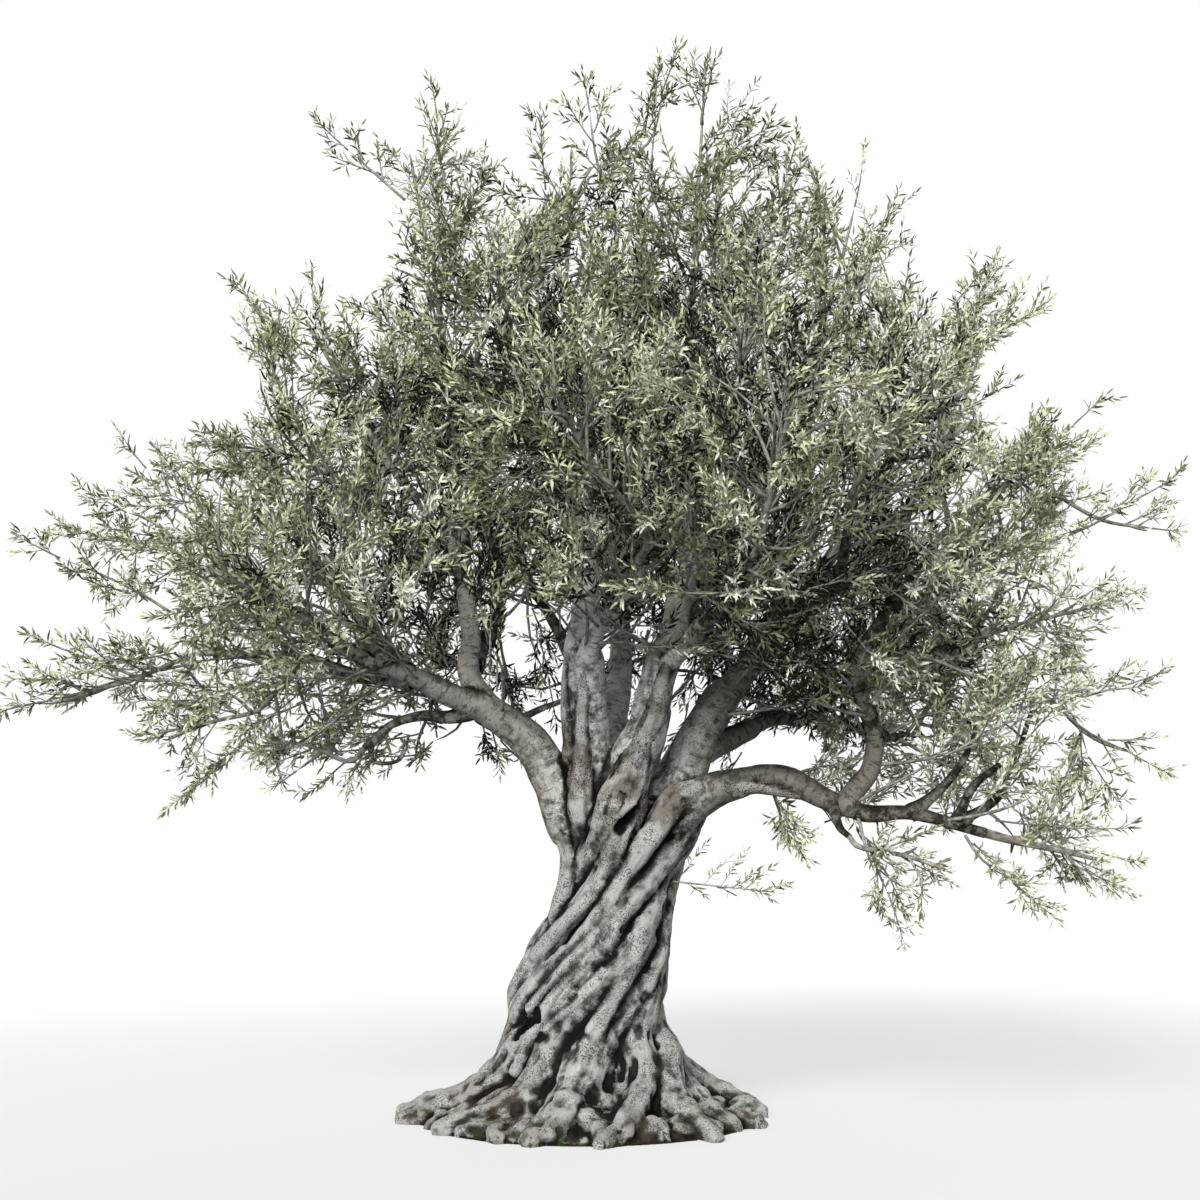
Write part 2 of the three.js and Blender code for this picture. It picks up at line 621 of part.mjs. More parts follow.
const group = new THREE.Group();
group.name = 'olive_tree';

function addNode(name, geometry, nodeMaterial) {
  const mesh = new THREE.Mesh(geometry, nodeMaterial);
  mesh.name = name;
  group.add(mesh);
}

addNode('trunk', trunkGeometry(), trunkBark());
for (const name of Object.keys(BOUGHS)) {
  addNode(`bough_${name}`, boughGeometry(name), boughBark());
}
for (const mass of masses) {
  addNode(`foliage_${mass.name}`, foliageGeometry(mass), foliageGreen());
}

export default group;
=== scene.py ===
"""An old olive tree, dressed for looks: twisted bark, limbs, fine twigs and small leaves.

Lengths in the tables of limbs, masses, hollows and twigs, and in the driving sizes up to the reach
of the toes, are millimetres, as in the part's source. All that is made from them, and all other
lengths, are in metres. +Z is up and the ground is Z = 0.
"""

import math
from itertools import product

import bpy
import numpy as np
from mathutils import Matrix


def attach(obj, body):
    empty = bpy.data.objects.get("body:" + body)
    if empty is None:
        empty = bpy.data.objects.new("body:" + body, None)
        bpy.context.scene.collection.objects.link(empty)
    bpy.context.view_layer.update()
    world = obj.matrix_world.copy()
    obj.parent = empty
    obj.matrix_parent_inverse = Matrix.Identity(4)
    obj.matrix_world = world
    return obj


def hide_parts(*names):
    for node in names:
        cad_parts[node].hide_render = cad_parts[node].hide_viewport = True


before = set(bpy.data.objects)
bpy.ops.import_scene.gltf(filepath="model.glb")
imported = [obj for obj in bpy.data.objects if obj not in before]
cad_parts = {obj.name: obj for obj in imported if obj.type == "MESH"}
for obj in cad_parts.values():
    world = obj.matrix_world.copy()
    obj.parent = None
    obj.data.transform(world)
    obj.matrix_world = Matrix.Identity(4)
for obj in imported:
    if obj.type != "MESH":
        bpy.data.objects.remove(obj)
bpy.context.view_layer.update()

# ---- camera --------------------------------------------------------------------------------------

camera = bpy.data.objects.new("camera", bpy.data.cameras.new("camera"))
camera.data.sensor_width = 36
camera.data.lens = 55.5
camera.location = (0.065, -9.5, 1.4)
camera.rotation_euler = (math.radians(97.3), 0, 0)
bpy.context.scene.collection.objects.link(camera)
bpy.context.scene.camera = camera

# ---- driving sizes, as in the source -------------------------------------------------------------

TRUNK_TOP = 1600
TRUNK_LEAN = 220
LEAN_STARTS = 450
LEAN_ENDS = 1500
TRUNK_TWIST = math.radians(165)
FLARE_TOP = 420
NECK_RADIUS = 395
WAIST_HEIGHT = 1180
WAIST_RADIUS = 300
CROTCH_RADIUS = 400
TOE_REACH = 950

# How foliage grows: the room it needs, and the sizes of its sprays and twigs.
JOINT_GAP = 0.0003
LIMB_CLEARANCE = 0.009
GROUND_CLEARANCE = 0.03
MASS_CLEARANCE = 0.04
FREE_START = 0.045
RUN_STEP = 0.015
SAMPLE_STEP = 0.03
SPRAY_LENGTH = 0.62
SPRAY_WIDTH = 0.38
TWIGS_PER_MASS = 4
TWIG_SHARE = 0.52
LEAST_TWIG = 0.09
LEAST_SPRAY_SHARE = 0.58
GOLDEN_ANGLE = 2.39996

# Each bough: the limb it leaves, its radius at both ends with its taper, and where it passes.
BOUGHS = {
    "left_main": ("trunk", (145, 30, 1.6), [
        (20, -20, 1330), (-205, -80, 1720), (-350, -120, 1930), (-700, -250, 2110),
        (-1140, -470, 2290), (-1360, -650, 2450)]),
    "left_reach": ("left_main", (42, 17, 1), [
        (-860, -320, 2180), (-1200, -200, 2220), (-1460, -150, 2310), (-1790, -200, 2310)]),
    "left_drop": ("left_reach", (22, 13, 1), [
        (-1440, -150, 2305), (-1530, -60, 2190), (-1630, 0, 2110)]),
    "left_low": ("left_main", (38, 15, 1), [
        (-540, -190, 2060), (-700, -150, 2010), (-850, -100, 2010), (-1010, -100, 1960),
        (-1130, -100, 1850)]),
    "left_high": ("left_main", (42, 18, 1), [
        (-900, -345, 2200), (-1110, -50, 2440), (-1340, 250, 2700), (-1570, 450, 2980)]),
    "left_upright": ("left_main", (38, 17, 1), [
        (-1000, -395, 2240), (-1080, -450, 2430), (-1150, -420, 2690), (-1200, -300, 3060)]),
    "left_rising": ("left_main", (66, 24, 1), [
        (-480, -170, 2010), (-600, -120, 2230), (-610, -60, 2440), (-700, 0, 2890),
        (-980, 0, 3260)]),
    "left_back": ("left_rising", (46, 20, 1), [
        (-600, -105, 2270), (-530, 150, 2440), (-480, 350, 2660), (-560, 700, 3100)]),
    "left_crown": ("left_rising", (34, 16, 1), [
        (-640, -30, 2700), (-650, 120, 3060), (-710, 150, 3490), (-790, 100, 4140)]),
    "centre_left": ("trunk", (118, 34, 0.8), [
        (80, -50, 1440), (10, -140, 1760), (-30, -200, 2010), (-20, -220, 2350), (0, -100, 2660),
        (-150, 50, 3310)]),
    "centre_front": ("centre_left", (58, 22, 1), [
        (-30, -225, 2240), (80, -450, 2440), (220, -750, 2560), (250, -1000, 2680)]),
    "top_left": ("centre_left", (36, 16, 1), [
        (-20, -70, 2750), (10, 150, 3280), (-20, 200, 3780), (-90, 200, 4220)]),
    "centre_back": ("trunk", (88, 32, 1), [
        (130, 80, 1440), (130, 120, 1770), (140, 170, 2030), (180, 420, 2620), (120, 800, 3400)]),
    "centre_right": ("trunk", (112, 32, 0.8), [
        (180, -80, 1410), (210, -200, 1680), (270, -270, 1900), (370, -310, 2200),
        (460, -300, 2530), (680, -280, 3090)]),
    "front_right": ("centre_right", (54, 21, 1), [
        (385, -310, 2250), (550, -600, 2400), (680, -900, 2500), (740, -1150, 2630)]),
    "top_centre": ("centre_right", (38, 16, 1), [
        (510, -300, 2650), (530, -50, 3190), (530, 100, 3700), (550, 100, 4140)]),
    "right_main": ("trunk", (110, 30, 1), [
        (270, 50, 1330), (490, 20, 1740), (610, 40, 1990), (900, 80, 2350), (1250, -50, 2820)]),
    "top_right": ("right_main", (44, 18, 1), [
        (820, 75, 2260), (1030, 300, 2710), (1130, 450, 3230), (1160, 400, 3660)]),
    "right_front": ("right_main", (42, 18, 1), [
        (1020, 60, 2480), (1210, -350, 2620), (1240, -700, 2770), (1240, -950, 2920)]),
    "low_right": ("trunk", (125, 26, 1.6), [
        (320, -60, 1330), (570, -160, 1610), (790, -250, 1670), (1010, -300, 1670),
        (1330, -400, 1520), (1600, -420, 1510), (1950, -360, 1420)]),
    "right_rising": ("low_right", (52, 20, 1), [
        (1270, -380, 1560), (1390, -400, 1760), (1400, -420, 1930), (1330, -460, 2110),
        (1350, -500, 2320), (1710, -300, 2790)]),
    "right_reach": ("right_rising", (26, 12, 1), [
        (1325, -470, 2180), (1510, -420, 2300), (1740, -300, 2330), (1980, -200, 2410)]),
    "right_inner": ("right_rising", (30, 14, 1), [
        (1400, -420, 1900), (1530, -250, 1890), (1630, -60, 1920)]),
    "right_spray": ("right_rising", (28, 13, 1), [
        (1490, -460, 2530), (1710, -380, 2600), (2020, -200, 2860), (2290, -100, 3080)]),
    "right_lower": ("low_right", (26, 13, 1), [
        (1820, -395, 1470), (2040, -300, 1610), (2160, -200, 1810), (2260, -100, 2030)]),
    "right_under": ("low_right", (28, 14, 1), [
        (1190, -365, 1590), (1220, -500, 1450), (1260, -580, 1400)]),
    "back_right": ("trunk", (78, 26, 1), [
        (320, 120, 1440), (560, 330, 1800), (940, 600, 2020), (1210, 850, 2060),
        (1440, 1150, 2230)]),
    "back_left": ("trunk", (74, 24, 1), [
        (140, 160, 1440), (110, 420, 1800), (-30, 800, 2270), (-330, 1250, 2850)]),
    "back_main": ("trunk", (78, 26, 1), [
        (230, 180, 1440), (330, 500, 1840), (450, 950, 2280), (540, 1350, 2790)]),
}

# Bare snags that stand on a bough.
SNAGS = {
    "hook": ("left_low", (15, 7, 1), [
        (-1070, -105, 1915), (-1095, -150, 1810), (-1050, -165, 1770), (-940, -160, 1790),
        (-900, -150, 1910)]),
    "inner_twig": ("left_main", (26, 13, 1), [
        (-360, -130, 1940), (-330, 60, 2010), (-260, 160, 2060), (-140, 240, 2110)]),
    "horn": ("low_right", (30, 8, 1), [
        (1570, -420, 1510), (1730, -440, 1640), (1840, -450, 1780), (1900, -450, 1910),
        (1860, -450, 1960)]),
    "stub": ("low_right", (24, 17, 1), [
        (1800, -400, 1470), (1880, -450, 1640), (2010, -470, 1750)]),
}

# Each mass of foliage: the bough it grows on from, its furthest tip and its half width.
MASSES = {
    "left_front": ("left_main", (-1800, -1250, 2650), 450),
    "left_arm": ("left_reach", (-2900, -350, 2010), 290),
    "left_skirt": ("left_drop", (-2330, 50, 1830), 300),
    "left_fringe": ("left_low", (-1790, -150, 1880), 250),
    "left_middle": ("left_high", (-2970, 350, 3000), 470),
    "left_upper": ("left_upright", (-1850, -450, 3560), 500),
    "left_shoulder": ("left_rising", (-1640, 100, 4350), 500),
    "left_behind": ("left_back", (-1350, 1500, 4150), 600),
    "crown_left": ("left_crown", (-1000, 0, 5290), 440),
    "heart_left": ("centre_left", (-560, -850, 4200), 600),
    "front_middle": ("centre_front", (-260, -2000, 3520), 640),
    "crown_top_left": ("top_left", (-90, 0, 5330), 500),
    "back_middle": ("centre_back", (300, 1750, 4850), 680),
    "heart_right": ("centre_right", (800, -850, 4050), 500),
    "front_corner": ("front_right", (950, -2000, 3480), 580),
    "crown_top": ("top_centre", (640, 100, 5590), 500),
    "right_high": ("right_main", (2200, -100, 4430), 580),
    "crown_right": ("top_right", (1560, 350, 5190), 500),
    "right_corner": ("right_front", (1620, -1600, 3600), 540),
    "right_hem": ("low_right", (2790, -200, 1230), 340),
    "right_middle": ("right_rising", (2720, 0, 3700), 400),
    "right_arm": ("right_reach", (2930, -100, 2660), 310),
    "right_tip": ("right_spray", (3140, 100, 2980), 210),
    "right_heart": ("right_inner", (2050, 400, 2450), 440),
    "right_side": ("right_lower", (2980, 200, 1780), 360),
    "right_fringe": ("right_under", (1830, -750, 1200), 260),
    "back_right": ("back_right", (2160, 2100, 3140), 640),
    "back_left": ("back_left", (-1150, 2200, 3200), 580),
    "back_far": ("back_main", (720, 2550, 3800), 620),
}

SPRIG_FOOT = (430, -150, 1180)
SPRIG_TIP = (1090, -200, 1110)
SPRIG_WIDTH = 190

# ---- finer sizes, of what the solids leave out ---------------------------------------------------

# The trunk's cords, surface roots and burls, and the boughs' samples.
TRUNK_SEED = 11
CORD_COUNT = 12
CORD_HEIGHTS = (430, 620, 820, 1010, 1200, 1400, 1570)
CORD_TURN_ON_BOUGH = 0.22
THIN_CORD_COUNT = 17
ROOT_COUNT = 26
BURL_COUNT = 30
CORD_STEP = 0.035
BOUGH_STEP = 0.025

# The skin over the trunk and the thick boughs: its grid, how softly limbs run into each other, the
# least radius of a limb in it, the length on which a thin tube takes over, and a tube's faces.
BARK_CELL = 0.0118
CELLS_PER_BLOCK = 16
SKIN_MARGIN = 0.06
SKIN_BLEND = 0.009
THICK_LIMB = 0.042
HANDOVER = 0.09
TUBE_RING_GAP = 0.018
TUBE_SIDE = 0.012

# The bark's layers: height, whether it follows the grain, how it is squeezed, and its cell.
BARK_LAYERS = [
    (0.0085, True, (1, 1, 0.16), 0.045), (0.004, True, (1, 1, 0.25), 0.022),
    (0.005, False, (1, 1, 1), 0.13), (0.0055, False, (1, 1, 0.8), 0.05),
    (0.0025, False, (1, 1, 1), 0.024)]

# Leaves and shoots; a leaf's width is a share of its length.
FOLIAGE_SEED = 23
LEAF_LENGTH = 0.067
LEAF_WIDTH = 0.21
NODE_SPACING = 0.0262
SHOOT_SPACING = 0.058
SHOOT_LENGTH = 0.25
FINER_TWIGS_PER_METRE = 3.4
LIMB_TWIG_GAP = 0.06

# Radii of the fine wood; the tip of a stem is in millimetres, as the boughs' are.
STEM_TIP = 8
TWIG_RADIUS = 0.0105
OUTER_TWIG_RADIUS = 0.008
TWIG_TIP_RADIUS = 0.0045
SPRAY_RADII = (0.006, 0.0022)
SHOOT_RADIUS = 0.0026
SPRIG_RADII = (0.0054, 0.003)
SPRIG_SHOOT_RADIUS = 0.0022
SPRIG_LEAF_SIZE = 0.85

# A leaf's corners, as shares of its length, width and length, and its triangles.
LEAF_OUTLINE = [
    (0, 0, 0), (0.36, 0.5, 0.035), (0.36, -0.5, 0.035), (0.72, 0.34, 0.0), (0.72, -0.34, 0.0),
    (1, 0, -0.09)]
LEAF_FACES = [(0, 2, 1), (1, 2, 4), (1, 4, 3), (3, 4, 5)]

# The studio: the dome's light, the floor's tone and glow far off and near the tree, where less glow
# is painted shade, the span over which it fades, and its size.
LIGHT_ABOVE = 0.3
LIGHT_BELOW = 0.18
FLOOR_DIFFUSE = 0.2
FLOOR_GLOW = 0.82
FLOOR_PAINTED_SHADE_GLOW = 0.63
GLOW_STARTS = 2.5
GLOW_ENDS = 11.0
FLOOR_HEIGHT = -0.001
FLOOR_REACH = 60
WALL_REACH = 59
WALL_HEIGHT = 80

# Each light: its strength, its width and which way it is turned, in degrees.
LIGHTS = {
    "key": (4.7, 26, (60, 0, -24)),
    "front_fill": (1.4, 45, (80, 0, 4)),
    "back_fill": (1.1, 60, (62, 0, 155)),
}

# The middle of the crown's heart, its half size, and the cells in which sprays are counted.
CROWN_HEART = np.array([0.3, 0.1, 3.1])
CROWN_HEART_SIZE = np.array([2.4, 1.9, 2.05])
SPRAY_ROOM = 0.29

# Where the photograph shows sky: place and half size on the plane Y = 0 as seen from the camera's
# place, across and up, and the share of shoots that grow there all the same.
SKY_GAPS = [
    (-1.22, 4.54, 0.15, 0.34, 0.10), (-1.87, 3.79, 0.14, 0.25, 0.15),
    (2.23, 3.74, 0.18, 0.27, 0.12), (2.58, 2.89, 0.16, 0.18, 0.15), (2.78, 1.95, 0.24, 0.22, 0.30),
    (-0.85, 5.22, 0.20, 0.12, 0.35), (-0.40, 5.03, 0.07, 0.20, 0.20),
    (0.47, 5.12, 0.13, 0.16, 0.00), (0.83, 5.44, 0.14, 0.15, 0.35), (1.69, 4.83, 0.16, 0.18, 0.25),
    (1.79, 4.39, 0.23, 0.10, 0.20), (-1.71, 4.22, 0.13, 0.13, 0.30),
    (-0.36, 2.45, 0.11, 0.16, 0.30), (0.27, 2.13, 0.06, 0.12, 0.30), (2.67, 2.38, 0.15, 0.15, 0.35),
    (-1.22, 4.90, 0.12, 0.14, 0.30), (-2.53, 1.99, 0.24, 0.07, 0.30),
    (-2.39, 3.30, 0.16, 0.07, 0.40), (-0.63, 5.15, 0.07, 0.13, 0.30),
    (2.58, 3.68, 0.18, 0.19, 0.30), (-0.15, 5.04, 0.09, 0.22, 0.35), (1.49, 4.82, 0.07, 0.25, 0.35),
    (-0.76, 1.75, 0.08, 0.13, 0.00), (0.98, 1.84, 0.24, 0.09, 0.05),
    (-1.43, 4.35, 0.11, 0.13, 0.35), (-1.49, 3.81, 0.14, 0.12, 0.40),
    (-2.89, 2.10, 0.15, 0.08, 0.50), (1.90, 4.59, 0.08, 0.11, 0.30), (2.76, 1.41, 0.12, 0.09, 0.40),
    (2.55, 1.06, 0.08, 0.08, 0.30)]

# Leafy twigs that reach out of the crown: foot and tip of each.
OUTER_TWIGS = [
    ((2339, -50, 2897), (2855, -50, 3143)), ((2506, 100, 2105), (2779, 100, 2178)),
    ((-2112, -200, 2530), (-2679, -200, 2806)), ((-2078, -300, 2176), (-2572, -300, 2316)),
    ((-973, 0, 4764), (-1281, 0, 5041)), ((-761, 0, 4847), (-808, 0, 5219)),
    ((91, 50, 4837), (11, 50, 5273)), ((279, 50, 5060), (399, 50, 5385)),
    ((967, 0, 4544), (1068, 0, 4919)), ((-1480, -200, 3785), (-1682, -200, 4060)),
    ((-2038, 100, 3027), (-2332, 100, 3332)), ((898, -280, 1670), (980, -280, 1493)),
    ((1365, -450, 1385), (1457, -450, 1131)), ((1846, -400, 1409), (2050, -400, 1202)),
    ((2216, -100, 2604), (2343, -100, 3082)), ((-973, 100, 2028), (-1254, 100, 1784)),
    ((-1739, 50, 1921), (-1950, 50, 1711)), ((-613, 150, 2083), (-455, 150, 1901)),
    ((2154, 0, 3301), (2392, 0, 3381)), ((-180, 220, 2100), (60, 330, 2200)),
    ((1212, 800, 2493), (853, 800, 1868)), ((1360, 700, 2399), (1100, 700, 1950)),
    ((1064, 1000, 2572), (830, 1000, 2013)), ((1528, 500, 2243), (1305, 500, 1892)),
    ((660, 900, 2732), (560, 900, 2136)), ((565, 700, 2762), (683, 700, 2205)),
    ((-327, 500, 2736), (-216, 500, 2250)), ((-467, 300, 2440), (-401, 300, 2094)),
    ((251, 600, 2472), (184, 600, 1897)), ((336, 900, 2561), (255, 900, 1996)),
    ((-1992, -250, 2261), (-2564, -250, 2110)), ((-2340, -250, 2170), (-2787, -250, 2060)),
    ((2443, -100, 2009), (2711, -100, 1847)), ((2210, -200, 1434), (2478, -200, 1246))]

# The stretches of limbs that no leaves hide from the front, as shares of their length.
BARE_STRETCHES = {
    "left_main": (0.1, 0.62), "left_rising": (0.0, 0.42), "left_low": (0.0, 1.0),
    "hook": (0.0, 1.0), "centre_left": (0.1, 0.46), "centre_right": (0.1, 0.5),
    "right_main": (0.1, 0.42), "low_right": (0.1, 0.93), "right_rising": (0.0, 0.55),
    "horn": (0.0, 1.0), "stub": (0.0, 1.0), "inner_twig": (0.0, 1.0)}

# ---- small helpers -------------------------------------------------------------------------------


def metres(points):
    """Places or sizes from the tables, in metres."""
    return np.array(points, float) / 1000


def unit(vectors):
    """Vectors made one long."""
    vectors = np.asarray(vectors, float)
    return vectors / np.maximum(np.linalg.norm(vectors, axis=-1, keepdims=True), 1e-12)


def smooth_step(low, high, value):
    """0 at the low value and 1 at the high one, with a smooth rise between."""
    share = np.clip((value - low) / (high - low), 0, 1)
    return share * share * (3 - 2 * share)


def seeded_random(seed):
    """Seeded random numbers between 0 and 1, the same as the source draws."""
    state = seed & 0xFFFFFFFF

    def draw():
        nonlocal state
        state = (state + 0x6D2B79F5) & 0xFFFFFFFF
        mixed = ((state ^ (state >> 15)) * (1 | state)) & 0xFFFFFFFF
        mixed = (mixed + ((mixed ^ (mixed >> 7)) * (61 | mixed))) & 0xFFFFFFFF ^ mixed
        return ((mixed ^ (mixed >> 14)) & 0xFFFFFFFF) / 4294967296

    return draw


def squared(vector, heading):
    """The part of a vector that is square to a unit heading, as a unit vector."""
    return unit(vector - heading * np.dot(vector, heading))


def lengths_to(points):
    """The length along a line of points up to each of them."""
    return np.concatenate([[0], np.cumsum(np.linalg.norm(np.diff(points, axis=0), axis=1))])


def side_of(number):
    """1 and -1 by turns."""
    return 1 if number % 2 == 0 else -1


def square_to(direction):
    """A unit vector square to the given direction."""
    reference = (1, 0, 0) if abs(direction[2]) > 0.9 else (0, 0, 1)
    return unit(np.cross(reference, direction))


def turned(vector, axis, angle):
    """A vector turned about a unit axis."""
    cosine, sine = math.cos(angle), math.sin(angle)
    along = axis * np.dot(axis, vector) * (1 - cosine)
    return vector * cosine + np.cross(axis, vector) * sine + along


def noise(points, cell, seed):
    """Smooth random values between -1 and 1, that change over about one cell."""
    scaled = points / cell
    corner = np.floor(scaled).astype(np.int64)
    part = scaled - corner
    part = part * part * part * (part * (part * 6 - 15) + 10)
    total = np.zeros(len(points))
    for step in product((0, 1), repeat=3):
        x, y, z = (corner + step).T
        mixed = (x * 73856093) ^ (y * 19349663) ^ (z * 83492791) ^ (seed * 2654435761)
        mixed = ((mixed ^ (mixed >> 13)) * 1274126177) & 0xFFFFFFFF
        mixed = ((mixed ^ (mixed >> 15)) * 2246822519) & 0xFFFFFFFF
        value = (mixed >> 8) / 8388607.5 - 1
        weight = np.prod(np.where(step, part, 1 - part), axis=1)
        total += value * weight
    return total


class Curve:
    """The smooth curve through some points that the source's limbs follow."""

    marks = np.linspace(0, 1, 201)
    nudge = 1e-4

    def __init__(self, points):
        points = np.asarray(points, float)
        before = 2 * points[0] - points[1]
        after = 2 * points[-1] - points[-2]
        self.knots = np.vstack([before, points, after])
        self.spans = len(points) - 1
        self.along = lengths_to(self.point(self.marks))
        self.length = self.along[-1]

    def point(self, mark):
        place = np.asarray(mark, float) * self.spans
        span = np.clip(np.floor(place).astype(int), 0, self.spans - 1)
        t = (place - span)[..., None]
        a, b, c, d = (self.knots[span + i] for i in range(4))
        leave, arrive = 0.5 * (c - a), 0.5 * (d - b)
        return (b + leave * t + (3 * (c - b) - 2 * leave - arrive) * t ** 2
                + (2 * (b - c) + leave + arrive) * t ** 3)

    def mark_at(self, share):
        return np.interp(np.asarray(share, float) * self.length, self.along, self.marks)

    def point_at(self, share):
        return self.point(self.mark_at(share))

    def heading_at(self, share):
        mark = self.mark_at(share)
        after, before = np.minimum(mark + self.nudge, 1), np.maximum(mark - self.nudge, 0)
        return unit(self.point(after) - self.point(before))


class StraightLine:
    """A line of straight lengths through some points, with places from 0 to 1 along it."""

    nudge = 1e-4

    def __init__(self, points):
        self.points = np.asarray(points, float)
        self.along = lengths_to(self.points)
        self.length = self.along[-1]

    def point_at(self, share):
        along = np.asarray(share, float) * self.length
        return np.stack([np.interp(along, self.along, axis) for axis in self.points.T], axis=-1)

    def heading_at(self, share):
        after, before = min(share + self.nudge, 1), max(share - self.nudge, 0)
        return unit(self.point_at(after) - self.point_at(before))


def ring_frames(headings):
    """Two side directions for each heading along a limb, which never flip."""
    side = square_to(headings[0])
    sides = []
    for heading in headings:
        side = squared(side, heading)
        sides.append(side)
    sides = np.array(sides)
    return sides, np.cross(sides, headings)


def girth_at(girth, place):
    """Radius, in metres, at a place from 0 to 1 along a limb."""
    foot, tip, taper = girth
    return (tip + (foot - tip) * (1 - place) ** taper) / 1000


def lean_at(height):
    """How far the trunk leans towards +X."""
    return TRUNK_LEAN * smooth_step(LEAN_STARTS, LEAN_ENDS, height)


def trunk_radius(height):
    """Outer radius of the trunk above its flare."""
    if height < WAIST_HEIGHT:
        share = smooth_step(FLARE_TOP, WAIST_HEIGHT, height)
        return NECK_RADIUS + (WAIST_RADIUS - NECK_RADIUS) * share
    above = (height - WAIST_HEIGHT) / (TRUNK_TOP - WAIST_HEIGHT)
    return WAIST_RADIUS + (CROTCH_RADIUS - WAIST_RADIUS) * above ** 1.5


# ---- limbs, as lines with a radius ---------------------------------------------------------------


class Limb:
    """A limb's middle line with its radius and side directions at every sample."""

    def __init__(self, name, kind, points, radii):
        self.name = name
        self.kind = kind
        self.points = np.asarray(points, float)
        self.radii = np.asarray(radii, float)
        self.headings = unit(np.gradient(self.points, axis=0))
        self.sides, self.lifts = ring_frames(self.headings)
        self.along = lengths_to(self.points)

    def sample_near(self, point):
        """Number of the sample that lies nearest to a point."""
        return np.linalg.norm(self.points - point, axis=1).argmin()

    def nearest(self, points, segments=None):
        """Distance from the limb's skin, number of the nearest segment and place along it."""
        starts, ends = self.points[:-1], self.points[1:]
        low, high = self.radii[:-1], self.radii[1:]
        numbers = np.arange(len(starts)) if segments is None else segments
        best = np.full(len(points), 1e9)
        which = np.zeros(len(points), int)
        place = np.zeros(len(points))
        for i in numbers:
            axis = ends[i] - starts[i]
            offset = points - starts[i]
            share = np.clip(offset @ axis / (axis @ axis), 0, 1)
            gap = np.linalg.norm(offset - share[:, None] * axis, axis=1)
            gap -= low[i] + (high[i] - low[i]) * share
            closer = gap < best
            best = np.where(closer, gap, best)
            which = np.where(closer, i, which)
            place = np.where(closer, share, place)
        return best, which, place


def bough_limb(name, curve, girth, wobble):
    """A bough's line, with the slight bends and swellings of old wood."""
    count = max(int(curve.length / BOUGH_STEP), 8)
    shares = np.linspace(0, 1, count + 1)
    points = curve.point_at(shares)
    radii = girth_at(girth, shares)
    seed = len(name) * 31 + ord(name[0])
    strength = wobble * radii * smooth_step(0, 0.15, shares) * smooth_step(1, 0.9, shares)
    for axis in range(3):
        points[:, axis] += strength * noise(points, 0.22, seed + axis)
    radii = radii * (1 + 0.07 * noise(points, 0.09, seed + 5))
    return Limb(name, "bough", points, radii)


limb_rows = {**BOUGHS, **SNAGS}
curves = {name: Curve(metres(path)) for name, (_, _, path) in limb_rows.items()}
limbs = {}
for name, (_, girth, _) in limb_rows.items():
    limbs[name] = bough_limb(name, curves[name], girth, 0.35 if name in BOUGHS else 0.3)


def toe_rings(reach):
    """Distance out, height and radius of a cord where it runs over the flare."""
    return [
        (reach - 40, 18, 46), (0.8 * reach, 66, 70), (0.58 * reach, 160, 84),
        (0.455 * reach, 290, 88)]


def around_trunk(out, angle, height, lean=0):
    """The point at a distance and a bearing from the trunk's middle line."""
    return lean + out * math.cos(angle), out * math.sin(angle), height


def outer_radius(height):
    """Where the backs of the cords lie, from the ground up to the fork."""
    if height < FLARE_TOP:
        return NECK_RADIUS + 20
    return trunk_radius(min(height, TRUNK_TOP))


def cord_points(foot, thickness, reach, phase):
    """Places and radii of a cord that winds up the trunk, weaving in and out and to the sides."""
    places, radii = [], []
    tilt = 1 + 0.24 * math.cos(foot)
    rings = [(out, height * tilt, radius) for out, height, radius in toe_rings(reach)]
    for height in CORD_HEIGHTS:
        swell = 1 + 0.2 * math.sin(2.1 * phase + 0.0125 * height)
        radius = 0.212 * outer_radius(height) * thickness * swell
        sink = 0.03 + 0.06 * math.sin(phase + 0.0085 * height)
        rings.append((outer_radius(height) * (1 + sink) - radius, height, radius))
    for out, height, radius in rings:
        sway = 0.14 * math.sin(1.7 * phase + 0.0085 * height)
        angle = foot + TRUNK_TWIST * height / TRUNK_TOP + sway
        places.append(around_trunk(out, angle, height, lean_at(height)))
        radii.append(radius * (thickness if height < 320 else 1))
    return metres(places), metres(radii)


def follow_bough(place, radius):
    """Places and radii where a cord leaves the trunk and fades out along the nearest bough."""
    names = [name for name in BOUGHS if BOUGHS[name][0] == "trunk"]
    centre = np.array([lean_at(TRUNK_TOP) / 1000, 0])

    def bearing(point):
        return math.atan2(point[1] - centre[1], point[0] - centre[0])

    def apart(name):
        ahead = bearing(curves[name].point_at(0.5 / curves[name].length)) - bearing(place) - 0.2
        return abs((ahead + math.pi) % (2 * math.pi) - math.pi)

    name = min(names, key=apart)
    curve = curves[name]
    places, radii = [], []
    start = curve.point_at(0.36 / curve.length)
    offset = place - start
    for i, (along, share) in enumerate(((0.46, 0.62), (0.66, 0.42), (0.92, 0.25))):
        here = along / curve.length
        heading = curve.heading_at(here)
        aside = turned(squared(offset, heading), heading, CORD_TURN_ON_BOUGH * (i + 1))
        bough_radius = girth_at(BOUGHS[name][1], here)
        cord_radius = share * radius
        places.append(curve.point_at(here) + aside * (bough_radius + 0.012 - cord_radius))
        radii.append(cord_radius)
    return np.array(places), np.array(radii)


def cord_limb(name, places, radii):
    """A limb of the trunk, on a smooth curve through the places."""
    curve = Curve(places)
    marks = np.linspace(0, 1, max(int(curve.length / CORD_STEP), 8))
    radii = np.interp(marks, np.linspace(0, 1, len(radii)), radii)
    return Limb(name, "trunk", curve.point(marks), radii)


